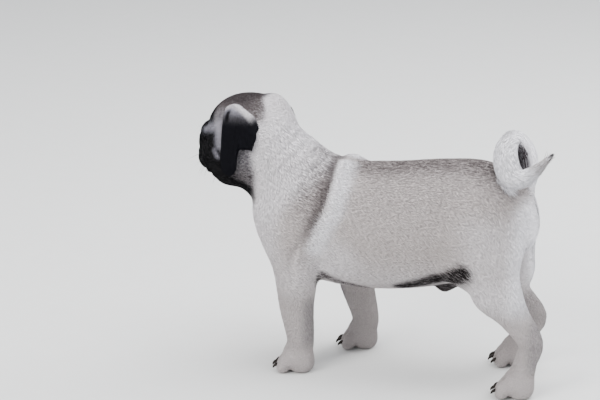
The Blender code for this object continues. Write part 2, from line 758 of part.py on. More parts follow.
def ear_mesh(side):
    """A folded ear: a flap that leaves the head along its root, hangs beside the cheek and ends in
    a long front lobe and a shorter rear lobe. Under it is a cup that stays clear of the head."""
    across, down = 13, 12
    u, v = np.linspace(0, 1, across), np.linspace(0, 1, down)
    root = curve_through([(-0.001, 0.0445), (-0.010, 0.0482), (-0.026, 0.0440), (-0.042, 0.0350),
                          (-0.0495, 0.0240)], u)
    hem = curve_through([(-0.0104, -0.0290), (-0.0170, -0.0345), (-0.0270, -0.0280), (-0.0335, -0.0130),
                         (-0.0360, -0.0015), (-0.0440, 0.0003), (-0.0510, -0.0010)], u)
    front = curve_through([(-0.001, 0.0445), (-0.007, 0.0390), (-0.011, 0.0220), (-0.0125, 0.0040),
                           (-0.0110, -0.0140), (-0.0104, -0.0290)], v)
    rear = curve_through([(-0.0495, 0.0240), (-0.0525, 0.0110), (-0.0510, -0.0010)], v)
    grid = np.zeros((down, across, 2))
    for i, s in enumerate(v):
        for j, t in enumerate(u):
            corners = (
                (1 - s) * ((1 - t) * root[0] + t * root[-1]) + s * ((1 - t) * hem[0] + t * hem[-1])
            )
            grid[i, j] = (
                (1 - s) * root[j] + s * hem[j] + (1 - t) * front[i] + t * rear[i] - corners
            )
    flat = grid.reshape(-1, 2)
    if side < 0:
        flat[:, 0] = EAR_FRONT + (flat[:, 0] - EAR_FRONT) * TUCK + PRICK
    fall = np.repeat(v, across)
    step = 0.0014 * np.clip((-0.031 - flat[:, 0]) / 0.004, 0.0, 1.0)
    sink = np.clip(1.0 - fall / 0.10, 0.0, 1.0)
    outside = FLAP_OUTSIDE * (1 - sink) + 0.0022 * sink + step * np.clip(fall / 0.3, 0, 1)
    inside = FLAP_INSIDE * (1 - sink) + FLAP_ROOT * sink + step * np.clip(fall / 0.3, 0, 1)
    outer, inner = beside_head(flat, side, outside), beside_head(flat, side, inside)
    count = across * down
    faces = []
    for i in range(down - 1):
        for j in range(across - 1):
            a = i * across + j
            quad = (a, a + 1, a + across + 1, a + across)
            faces += [quad, tuple(n + count for n in reversed(quad))]
    rim = [*range(across), *range(2 * across - 1, count, across),
           *range(count - 2, count - across - 1, -1), *range(count - 2 * across, 0, -across)]
    for a, b in zip(rim, rim[1:] + rim[:1]):
        faces.append((a, b, b + count, a + count))
    return as_mesh("ear", np.vstack([outer, inner]), faces)


def beside_head(flat, side, level):
    """Points beside the head at the given (forward, up), out to where the flesh is level away."""
    near, far = np.full(len(flat), 0.012), np.full(len(flat), 0.090)
    for _ in range(26):
        middle = (near + far) / 2
        local = np.stack([flat[:, 0], side * middle, flat[:, 1]], axis=1)
        away = flesh_field(local @ HEAD_AXES.T + np.array(HEAD_CENTRE)) > level
        near, far = np.where(away, near, middle), np.where(away, middle, far)
    local = np.stack([flat[:, 0], side * far, flat[:, 1]], axis=1)
    return local @ HEAD_AXES.T + np.array(HEAD_CENTRE)


def claws_mesh(centre, turn):
    """The four claws of one paw, each a small hooked cone whose root is inside its toe."""
    axes = paw_axes(turn)
    vertices, faces = [], []
    for toe in range(4):
        tip = toe_stations(toe)[-1]
        x, y = tip[0] + TOE_RADIUS - 0.0030, tip[1]
        path = [(x, y, 0.0100, 0.0024), (x + 0.45 * CLAW_LENGTH, y, 0.0094, 0.0021),
                (x + 0.85 * CLAW_LENGTH, y, 0.0068, 0.0014), (x + CLAW_LENGTH, y, 0.0042, 0.0004)]
        placed = [(*(np.array(centre) + axes @ np.array(p[:3])), p[3]) for p in path]
        aims = np.gradient(np.array(placed)[:, :3], axis=0)
        claw = ring_tube("claw", placed, aims, 8)
        start = len(vertices)
        vertices += [v.co.copy() for v in claw.vertices]
        faces += [tuple(start + n for n in p.vertices) for p in claw.polygons]
    return as_mesh("claws", vertices, faces)


def eye_mesh(side, radius):
    centre, _ = eye_axes(side)
    work = bmesh.new()
    bmesh.ops.create_uvsphere(work, u_segments=18, v_segments=12, radius=radius,
                              matrix=Matrix.Translation(head_to_dog(centre)))
    mesh = bpy.data.meshes.new("eye")
    work.to_mesh(mesh)
    work.free()
    return mesh


def nose_mesh(field, cell=0.0021):
    low, high = (0.050, -0.019, -0.024), (0.078, 0.019, 0.006)
    vertices, quads = surface_net(field, low, high, cell)
    placed = settle(field, vertices) @ HEAD_AXES.T + np.array(HEAD_CENTRE)
    return as_mesh("nose", placed, quads.tolist())


def nose_hull(points):
    return nose_field(points) - GAP * 1.3


# The parts of the dog


def head_parts():
    """Head, eyes, nose and ears."""
    face = head_mesh()
    around_face = grown(face, GAP * 1.25)
    steps = [("INTERSECT", head_half(-GAP / 2)), ("DIFFERENCE", nose_mesh(nose_hull))]
    for side, name in ((1.0, "eye_left"), (-1.0, "eye_right")):
        steps.append(("DIFFERENCE", eye_mesh(side, EYE_RADIUS + GAP)))
        fill(name, eye_mesh(side, EYE_RADIUS), "eye_brown")
    fill("head", combined(face, steps), "black_mask")
    fill("nose", nose_mesh(nostril_field), "nose_leather")
    for side, name in ((1.0, "ear_left"), (-1.0, "ear_right")):
        ear = combined(ear_mesh(side), [("DIFFERENCE", around_face.copy())])
        fill(name, ear, "black_mask")


def leg_parts(flesh):
    """Legs down to the wrist or hock, thighs, and paws with their claws."""
    for name in LIMBS:
        side = LEFT if "left" in name else RIGHT
        paw = name.replace("leg", "paw")
        claws = claws_mesh(*PAWS[paw])
        steps = [("INTERSECT", leg_box(name, -GAP / 2)), ("DIFFERENCE", paw_box(name, GAP / 2))]
        fill(name, combined(flesh.copy(), steps), "fawn_coat")
        steps = [("INTERSECT", paw_box(name, -GAP / 2, floor=0.0)), ("UNION", claws)]
        fill(paw, combined(flesh.copy(), steps), "fawn_coat")
        if "hind" in name:
            steps = [("INTERSECT", thigh_slab(side, -GAP / 2)), ("DIFFERENCE", leg_box(name, GAP / 2))]
            fill(name.replace("hindleg", "thigh"), combined(flesh.copy(), steps), "fawn_coat")


def body_parts(flesh):
    """Torso, neck and tail."""
    around_flesh = grown(flesh, GAP * 1.25)
    steps = [("DIFFERENCE", neck_half(GAP / 2))]
    for side, name in ((LEFT, "left"), (RIGHT, "right")):
        steps.append(("DIFFERENCE", leg_box("foreleg_" + name, GAP / 2)))
        steps.append(("DIFFERENCE", thigh_slab(side, GAP / 2)))
    fill("torso", combined(flesh.copy(), steps), "fawn_coat")
    steps = [("INTERSECT", neck_half(-GAP / 2)), ("DIFFERENCE", head_half(GAP / 2))]
    fill("neck", combined(flesh.copy(), steps), "pale_coat")
    for name, mesh in tail_meshes().items():
        if name == "tail_root":
            mesh = combined(mesh, [("DIFFERENCE", around_flesh)])
        fill(name, mesh, "pale_coat")


def stand_at_origin():
    """Moves every part so that the origin is on the floor under the middle of the bounding box."""
    parts = [o for o in bpy.context.scene.objects if o.type == "MESH"]
    corners = np.array([tuple(v.co) for o in parts for v in o.data.vertices])
    middle = (corners.min(axis=0) + corners.max(axis=0)) / 2
    shift = Matrix.Translation(Vector((-middle[0], -middle[1], -corners[:, 2].min())))
    for part in parts:
        part.data.transform(shift)


def main():
    clear_scene()
    flesh = body_mesh()
    head_parts()
    body_parts(flesh)
    leg_parts(flesh)
    stand_at_origin()


if __name__ == "__main__":
    main()
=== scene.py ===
"""Visual model of a young fawn pug with a black mask, standing, its head turned to its right.

Metres, +Z up. The dog faces -X and its left side is -Y. Every form is given in the dog's own
frame, where Y = 0 is the middle of the body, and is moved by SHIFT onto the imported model. One skin
carries the whole animal. Short tufts of fur lie on it and follow the lie of the coat. Both take
their colour from the same markings.
"""

import logging
import math
from dataclasses import dataclass, field
from enum import Enum
from functools import lru_cache
from typing import Callable

import bmesh
import bpy
import numpy as np
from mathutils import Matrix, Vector


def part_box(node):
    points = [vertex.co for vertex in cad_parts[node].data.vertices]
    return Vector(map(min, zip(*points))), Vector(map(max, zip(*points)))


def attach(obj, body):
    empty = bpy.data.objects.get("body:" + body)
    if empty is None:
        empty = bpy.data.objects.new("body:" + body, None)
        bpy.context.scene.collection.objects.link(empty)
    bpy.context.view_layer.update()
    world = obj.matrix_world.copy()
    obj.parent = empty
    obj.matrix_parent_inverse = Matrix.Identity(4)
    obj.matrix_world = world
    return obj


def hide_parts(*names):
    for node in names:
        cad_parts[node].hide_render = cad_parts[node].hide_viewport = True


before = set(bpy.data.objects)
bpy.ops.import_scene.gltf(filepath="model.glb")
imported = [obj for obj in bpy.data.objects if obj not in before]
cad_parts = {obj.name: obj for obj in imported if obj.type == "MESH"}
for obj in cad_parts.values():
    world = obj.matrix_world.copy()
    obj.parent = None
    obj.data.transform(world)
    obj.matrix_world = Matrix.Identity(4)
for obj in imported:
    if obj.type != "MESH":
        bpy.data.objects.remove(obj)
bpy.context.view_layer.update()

Points = np.ndarray
Field = Callable[[Points], np.ndarray]
Place = tuple[float, float, float]

LEFT, RIGHT = -1.0, 1.0
SIDES = (LEFT, RIGHT)
OUTSIDE = 1.0  # field value far away from a form
BODY = "root"
SEED = 20
SOLE_LEVEL = 0.0006  # height of the skin's soles above the floor
COLOUR_NAME = "coat_colour"  # attribute that the coat's materials read
GAZE_NAME = "gaze_angle"  # attribute that the eyes' material reads
TAIL_NODES = ("tail_root", "tail_curl", "tail_tip")
LOG = logging.getLogger("pug")


def ball(points: Points, centre: tuple, radii: tuple, turn: np.ndarray | None = None) -> np.ndarray:
    """Distance field of an ellipsoid, negative inside.

    Args:
        points: places to read, one row each.
        centre: middle of the ellipsoid.
        radii: its half axes.
        turn: 3x3 matrix whose columns are its axes.

    Returns:
        The distance at each point.
    """
    offset = points - np.asarray(centre, float)
    if turn is not None:
        offset = offset @ turn
    radii = np.asarray(radii, float)
    near = np.linalg.norm(offset / radii, axis=1)
    steep = np.linalg.norm(offset / radii**2, axis=1)
    return near * (near - 1.0) / np.maximum(steep, 1e-9)


def smooth_path(stations: list, steps: int = 4) -> np.ndarray:
    """Catmull-Rom curve through stations.

    Args:
        stations: rows of a point and whatever goes with it, such as a radius.
        steps: spans between two stations.

    Returns:
        The rows along the curve.
    """
    rows = np.asarray(stations, float)
    rows = np.vstack([2 * rows[0] - rows[1], rows, 2 * rows[-1] - rows[-2]])
    out = []
    for i in range(1, len(rows) - 2):
        before, start, end, after = rows[i - 1 : i + 3]
        for t in np.arange(steps) / steps:
            out.append(
                0.5
                * (
                    2 * start
                    + (end - before) * t
                    + (2 * before - 5 * start + 4 * end - after) * t**2
                    + (3 * start - before - 3 * end + after) * t**3
                )
            )
    out.append(rows[-2])
    return np.array(out)


def sweep(
    points: Points, stations: list, flatness: float = 1.0, steps: int = 4, reach: float = 0.032
) -> np.ndarray:
    """Distance field of a round limb, worked out only within reach of it.

    Args:
        points: places to read.
        stations: rows (x, y, z, radius) along the limb.
        flatness: under 1 narrows it sideways.
        steps: spans between two stations.
        reach: how far round the limb the field is needed.

    Returns:
        The distance at each point, OUTSIDE beyond reach.
    """
    path = smooth_path(stations, steps)
    edge = path[:, 3:].max() + reach
    close = within(points, path[:, :3].min(axis=0) - edge, path[:, :3].max(axis=0) + edge)
    squash = np.array([1.0, flatness, 1.0])
    at = points[close] / squash
    best = np.full(len(at), OUTSIDE)
    for start, end in zip(path[:-1], path[1:]):
        a, b = start[:3] / squash, end[:3] / squash
        along = b - a
        t = np.clip((at - a) @ along / max(along @ along, 1e-12), 0.0, 1.0)
        off = np.linalg.norm(at - a - t[:, None] * along, axis=1)
        best = np.minimum(best, off - (start[3] + t * (end[3] - start[3])))
    result = np.full(len(points), OUTSIDE)
    result[close] = best * min(1.0, flatness)
    return result


def within(points: Points, low: np.ndarray, high: np.ndarray) -> np.ndarray:
    """Tells which points lie inside the box from low to high."""
    return np.all((points > low) & (points < high), axis=1)


def unit(rows: np.ndarray) -> np.ndarray:
    """Rows scaled to a length of 1."""
    return rows / np.maximum(np.linalg.norm(rows, axis=1, keepdims=True), 1e-12)


def ring_quads(at: np.ndarray) -> np.ndarray:
    """Quads between closed rings of vertex numbers, one ring a row."""
    after = np.roll(at, -1, axis=1)
    return np.stack([at[:-1], at[1:], after[1:], after[:-1]], axis=-1).reshape(-1, 4)


def fuse(first: np.ndarray, second: np.ndarray, blend: float) -> np.ndarray:
    """Smooth union of two fields; blend is how far the fillet reaches."""
    share = np.clip(0.5 + 0.5 * (second - first) / blend, 0.0, 1.0)
    return second + (first - second) * share - blend * share * (1.0 - share)


def carve(solid: np.ndarray, tool: np.ndarray, blend: float) -> np.ndarray:
    """Smooth cut of tool out of solid."""
    return -fuse(-solid, tool, blend)


def rise_between(value: np.ndarray, low: float, high: float) -> np.ndarray:
    """Smooth step: 0 below low, 1 above high."""
    t = np.clip((value - low) / (high - low), 0.0, 1.0)
    return t * t * (3.0 - 2.0 * t)


def gradient(shape: Field, points: Points, step: float = 0.0004) -> np.ndarray:
    """Direction in which a field grows fastest at each point.

    Args:
        shape: the field.
        points: places to read it at.
        step: half the distance over which it is read.

    Returns:
        One row a point, as long as the field is steep.
    """
    axes = step * np.eye(3)
    slope = np.stack([shape(points + axis) - shape(points - axis) for axis in axes], axis=1)
    return slope / (2 * step)


def settle(shape: Field, points: Points, rounds: int = 2) -> Points:
    """Moves points onto a field's surface.

    Args:
        shape: the field.
        points: places near its surface.
        rounds: Newton steps taken.

    Returns:
        The places on the surface.
    """
    for _ in range(rounds):
        slope = gradient(shape, points)
        size = np.maximum((slope**2).sum(axis=1), 0.04)
        points = points - np.clip(shape(points) / size, -0.004, 0.004)[:, None] * slope
    return points


@dataclass(frozen=True, eq=False)
class HeadForm:
    """The head in its own frame: forward, left and up from the middle of the skull."""

    centre: Place = (-0.168, 0.007, 0.271)
    turn: float = math.radians(26)  # towards the dog's right
    lift: float = math.radians(-5)
    eye_radius: float = 0.0115
    eye_place: Place = (0.0395, 0.0315, -0.001)
    nose_place: Place = (0.0662, 0.0, -0.0085)
    reach: float = 0.115
    skull: tuple = ((-0.012, 0, 0.01), (0.052, 0.05, 0.046))
    midline: tuple = (  # forehead, muzzle, chin and throat: middle, radii and blend
        ((0.013, 0, 0.013), (0.036, 0.041, 0.036), 0.02),
        ((0.034, 0, -0.02), (0.03, 0.034, 0.025), 0.012),
        ((0.045, 0, -0.0435), (0.0165, 0.0205, 0.0105), 0.006),
        ((-0.018, 0, -0.036), (0.036, 0.036, 0.0305), 0.02),
    )

    @property
    def forward(self) -> Vector:
        """Where the head points, in the dog's frame."""
        flat = math.cos(self.lift)
        return Vector((-math.cos(self.turn) * flat, math.sin(self.turn) * flat, math.sin(self.lift)))

    @property
    def axes(self) -> np.ndarray:
        """Columns: forward, left and up, in the dog's frame."""
        left = Vector((0, 0, 1)).cross(self.forward).normalized()
        return np.array([self.forward, left, self.forward.cross(left)]).T

    def to_dog(self, local: Points) -> Points:
        """Points of the head's frame in the dog's frame."""
        return np.asarray(local, float) @ self.axes.T + np.array(self.centre)

    def from_dog(self, points: Points) -> Points:
        """Points of the dog's frame in the head's frame."""
        return (points - np.array(self.centre)) @ self.axes

    def eye(self, side: float) -> tuple[np.ndarray, np.ndarray]:
        """One eye's middle and its axes.

        Args:
            side: +1 for the left eye, -1 for the right one.

        Returns:
            The middle and the columns gaze, across and up, in the head's frame.
        """
        gaze = Vector((0.87, 0.49 * side, 0.03)).normalized()
        across = Vector((0, 0, 1)).cross(gaze).normalized()
        middle = np.array(self.eye_place) * (1.0, side, 1.0)
        return middle, np.array([gaze, across, gaze.cross(across)]).T

    def smooth(self, points: Points) -> np.ndarray:
        """Field of the skull, muzzle, cheeks and lids, without folds.

        Args:
            points: places in the head's frame.

        Returns:
            The distance at each point.
        """
        solid = ball(points, *self.skull)
        for middle, radii, blend in self.midline:
            solid = fuse(solid, ball(points, middle, radii), blend)
        for side in SIDES:
            cheek = ball(points, (0.002, 0.03 * side, -0.014), (0.041, 0.027, 0.036))
            solid = fuse(solid, cheek, 0.014)
            jaw = [(0.042, 0.01 * side, -0.042, 0.01), (0.018, 0.025 * side, -0.042, 0.0115),
                   (-0.008, 0.031 * side, -0.034, 0.015)]
            solid = fuse(solid, sweep(points, jaw, reach=0.011), 0.01)
            flew = ball(points, (0.0502, 0.0165 * side, -0.0245), (0.0185, 0.0175, 0.017))
            solid = fuse(solid, flew, 0.005)
            middle, axes = self.eye(side)
            size = (self.eye_radius + 0.0026, self.eye_radius + 0.004, self.eye_radius + 0.003)
            solid = fuse(solid, ball(points, middle, size, axes), 0.005)
        return solid

    def laid(self, stations: list, rise: float) -> np.ndarray:
        """Stations moved onto the smooth head, and out from it by rise times their radius.

        Args:
            stations: rows of place and radius near the head.
            rise: how far out they go, as a share of their radius.

        Returns:
            The moved rows.
        """
        rows = np.array(stations, float)
        spots = settle(self.smooth, rows[:, :3], rounds=8)
        out = unit(gradient(self.smooth, spots))
        return np.hstack([spots + out * rise * rows[:, 3:], rows[:, 3:]])

    @lru_cache(maxsize=None)
    def folds(self) -> list[np.ndarray]:
        """Stations of the raised folds of brow, nose and cheek.

        Returns:
            Rows of place and radius, one array a fold.
        """
        out = []
        for side in SIDES:
            brow = [(0.026, 0.047 * side, 0.006, 0.003), (0.038, 0.041 * side, 0.015, 0.0044),
                    (0.047, 0.029 * side, 0.019, 0.0052), (0.05, 0.017 * side, 0.018, 0.005),
                    (0.051, 0.007 * side, 0.024, 0.0036)]
            nose = [(0.057, 0.0, 0.006, 0.0064), (0.056, 0.01 * side, 0.004, 0.006),
                    (0.054, 0.02 * side, -0.0045, 0.0046), (0.051, 0.028 * side, -0.0145, 0.004),
                    (0.041, 0.04 * side, -0.019, 0.0044), (0.024, 0.049 * side, -0.018, 0.0034)]
            cheek = [(0.03, 0.049 * side, -0.004, 0.0024), (0.024, 0.053 * side, -0.018, 0.0036),
                     (0.024, 0.048 * side, -0.033, 0.0034)]
            out += [self.laid(brow, 0.25), self.laid(nose, 0.25), self.laid(cheek, -0.2)]
        return out

    @lru_cache(maxsize=None)
    def creases(self) -> list[np.ndarray]:
        """Stations of the mouth line, the wrinkles, the thumb mark and the philtrum.

        Returns:
            Rows of place and radius, one array a crease.
        """
        out = [
            self.laid(
                [(0.052, 0, 0.02, 0.002), (0.047, 0, 0.028, 0.0018), (0.04, 0, 0.04, 0.0012)], 0.0
            ),
            self.laid(
                [(0.064, 0, -0.019, 0.0018), (0.066, 0, -0.026, 0.002), (0.062, 0, -0.036, 0.002)], 0.0
            ),
        ]
        for side in SIDES:
            mouth = [(0.062, 0.0, -0.035, 0.0024), (0.06, 0.01 * side, -0.039, 0.0028),
                     (0.052, 0.023 * side, -0.0425, 0.003), (0.038, 0.034 * side, -0.041, 0.0026),
                     (0.023, 0.043 * side, -0.035, 0.0014)]
            out.append(self.laid(mouth, 0.1))
            for rise, span in ((0.027, 0.03), (0.036, 0.024), (0.044, 0.016)):
                wrinkle = [(0.048, 0.003 * side, rise - 0.002, 0.002),
                           (0.044, 0.5 * span * side, rise + 0.002, 0.003),
                           (0.034, span * side, rise - 0.003, 0.0012)]
                out.append(self.laid(wrinkle, 0.1))
        return out

    def shape(self, points: Points) -> np.ndarray:
        """Field of the whole head, points in the dog's frame.

        Args:
            points: places in the dog's frame.

        Returns:
            One value a point, less than 0 inside.
        """
        result = np.full(len(points), OUTSIDE)
        middle = np.array(self.centre)
        close = within(points, middle - self.reach, middle + self.reach)
        if not close.any():
            return result
        local = self.from_dog(points[close])
        solid = self.smooth(local)
        for fold in self.folds():
            solid = fuse(solid, sweep(local, fold, reach=0.007), 0.0045)
        for crease in self.creases():
            solid = carve(solid, sweep(local, crease, reach=0.006), 0.004)
        for side in SIDES:
            eye, axes = self.eye(side)
            opening = eye + axes[:, 0] * (self.eye_radius + 0.001)
            solid = carve(solid, ball(local, opening, (0.008, 0.0114, 0.0094), axes), 0.0016)
        result[close] = solid
        return result


@dataclass(frozen=True)
class PawForm:
    """One paw: its place on the floor, which way it points and its sizes."""

    x: float
    y: float
    turn: float
    length: float = 0.046
    width: float = 0.04
    height: float = 0.026
    toe_radius: float = 0.0078

    @property
    def axes(self) -> np.ndarray:
        """Columns: forward, left and up, in the dog's frame."""
        forward = Vector((-math.cos(self.turn), math.sin(self.turn), 0))
        return np.array([forward, Vector((0, 0, 1)).cross(forward), Vector((0, 0, 1))]).T

    def to_dog(self, local: Points) -> Points:
        """Points of the paw's frame in the dog's frame."""
        return np.asarray(local, float) @ self.axes.T + np.array((self.x, self.y, 0.0))

    def toe(self, number: int) -> list[tuple]:
        """Stations of one of the four toes, in the paw's frame.

        Args:
            number: 0 for the first toe to 3.

        Returns:
            Rows of place and radius.
        """
        sideways = (number - 1.5) * self.width * 0.245
        reach = self.length * (0.5 - 0.05 * (number - 1.5) ** 2) - self.toe_radius
        return [
            (-0.004, sideways * 0.6, self.height * 0.62, self.toe_radius),
            (reach * 0.62, sideways, self.height * 0.55, self.toe_radius * 1.08),
            (reach, sideways * 1.06, self.toe_radius * 0.85, self.toe_radius),
        ]

    def gap(self, number: int) -> list[tuple]:
        """Stations of the groove between a toe and the next one.

        Args:
            number: 0 for the first gap to 2.

        Returns:
            Rows of place and radius.
        """
        first, second = np.array(self.toe(number)), np.array(self.toe(number + 1))
        middle = (first + second) / 2
        radius = self.toe_radius
        return [
            (middle[1, 0] - 0.3 * radius, middle[1, 1], middle[1, 2] + 1.15 * radius, 0.0006),
            (middle[1, 0] + 0.55 * radius, middle[1, 1], middle[1, 2] + 0.75 * radius, 0.0012),
            (middle[2, 0] + 0.7 * radius, middle[2, 1], middle[2, 2] + 0.4 * radius, 0.0016),
            (middle[2, 0] + 0.95 * radius, middle[2, 1], middle[2, 2] - 0.6 * radius, 0.0014),
        ]

    def shape(self, points: Points) -> np.ndarray:
        """Field of the paw, points in the dog's frame.

        Args:
            points: places in the dog's frame.

        Returns:
            One value a point, less than 0 inside.
        """
        result = np.full(len(points), OUTSIDE)
        middle = np.array((self.x, self.y, 0.015))
        close = within(points, middle - 0.045, middle + 0.045)
        if not close.any():
            return result
        local = (points[close] - np.array((self.x, self.y, 0.0))) @ self.axes
        heel = ball(local, (-0.008, 0, self.height * 0.42), (0.0165, 0.0165, 0.015))
        wrist = ball(local, (-0.004, 0, self.height * 0.8), (0.0165, 0.0165, 0.013))
        toes = sweep(local, self.toe(0), reach=0.01)
        for number in (1, 2, 3):
            toes = fuse(toes, sweep(local, self.toe(number), reach=0.01), 0.0022)
        solid = fuse(fuse(heel, wrist, 0.01), toes, 0.007)
        for number in (0, 1, 2):
            solid = carve(solid, sweep(local, self.gap(number), reach=0.006), 0.003)
        result[close] = solid
        return result


@dataclass(frozen=True, eq=False)
class TailForm:
    """The tail, curled tightly over the rump."""

    stations: tuple = (
        (0.163, 0.004, 0.226, 0.0135),
        (0.1735, 0.007, 0.243, 0.0128),
        (0.1775, 0.009, 0.262, 0.012),
        (0.1735, 0.009, 0.283, 0.0118),
        (0.163, 0.003, 0.297, 0.0118),
        (0.1553, -0.008, 0.2885, 0.0138),
        (0.1572, -0.0195, 0.275, 0.0146),
        (0.1655, -0.028, 0.263, 0.0138),
        (0.179, -0.031, 0.262, 0.0112),
        (0.1945, -0.03, 0.273, 0.0078),
        (0.2125, -0.027, 0.292, 0.001),
    )
    hair: float = 0.0026  # how far the coat stands out from the flesh
    heart: Place = (0.166, -0.01, 0.274)  # middle of the curl

    def shape(self, points: Points) -> np.ndarray:
        """Field of the tail's flesh, thinner than its outline by the hair."""
        bare = [(x, y, z, r - self.hair * min(1.0, r / 0.01)) for x, y, z, r in self.stations]
        return sweep(points, bare, steps=6, reach=0.02)

    @lru_cache(maxsize=None)
    def course(self) -> tuple[np.ndarray, np.ndarray]:
        """The tail's middle line with its radii, and the length up to each of its points."""
        path = smooth_path(self.stations, 6)
        steps = np.linalg.norm(np.diff(path[:, :3], axis=0), axis=1)
        return path, np.concatenate([[0.0], np.cumsum(steps)])

    def locate(self, points: Points) -> tuple[np.ndarray, np.ndarray, np.ndarray]:
        """Finds each point's place on the tail.

        Args:
            points: places in the dog's frame.

        Returns:
            The share of the length, the direction of the tip and how far the outline is.
        """
        path, marks = self.course()
        aims = unit(np.gradient(path[:, :3], axis=0))
        off = np.full(len(points), OUTSIDE)
        best = np.zeros(len(points), int)
        for number, row in enumerate(path):
            away = np.linalg.norm(points - row[:3], axis=1) - row[3]
            best = np.where(away < off, number, best)
            off = np.minimum(off, away)
        return marks[best] / marks[-1], aims[best], off

    def inner(self, points: Points, normals: np.ndarray) -> np.ndarray:
        """1 where a place on the tail looks into the curl, -1 where it looks out."""
        return (unit(np.asarray(self.heart) - points) * normals).sum(axis=1)


def fore_limb(side: float, elbow_x: float, wrist_x: float) -> list[tuple]:
    """Stations of a foreleg from the shoulder point to the pastern.

    Args:
        side: -1 for the left leg and +1 for the right one.
        elbow_x: how far back the elbow is.
        wrist_x: how far back the wrist is.

    Returns:
        Rows of place and radii.
    """
    y = 0.05 * side
    return [
        (-0.1, 0.044 * side, 0.178, 0.0325),
        (elbow_x, y, 0.128, 0.0275),
        (elbow_x * 0.5 + wrist_x * 0.5 - 0.002, y, 0.084, 0.0222),
        (wrist_x, y, 0.042, 0.0175),
        (wrist_x - 0.003, y, 0.026, 0.0168),
    ]


def hind_limb(side: float, *places: tuple) -> list[tuple]:
    """Stations of a hind leg: knee, second thigh, hock, pastern and heel as (x, z)."""
    radii = (0.026, 0.0188, 0.0158, 0.0146, 0.0156)
    return [(x, 0.05 * side, z, radius) for (x, z), radius in zip(places, radii)]


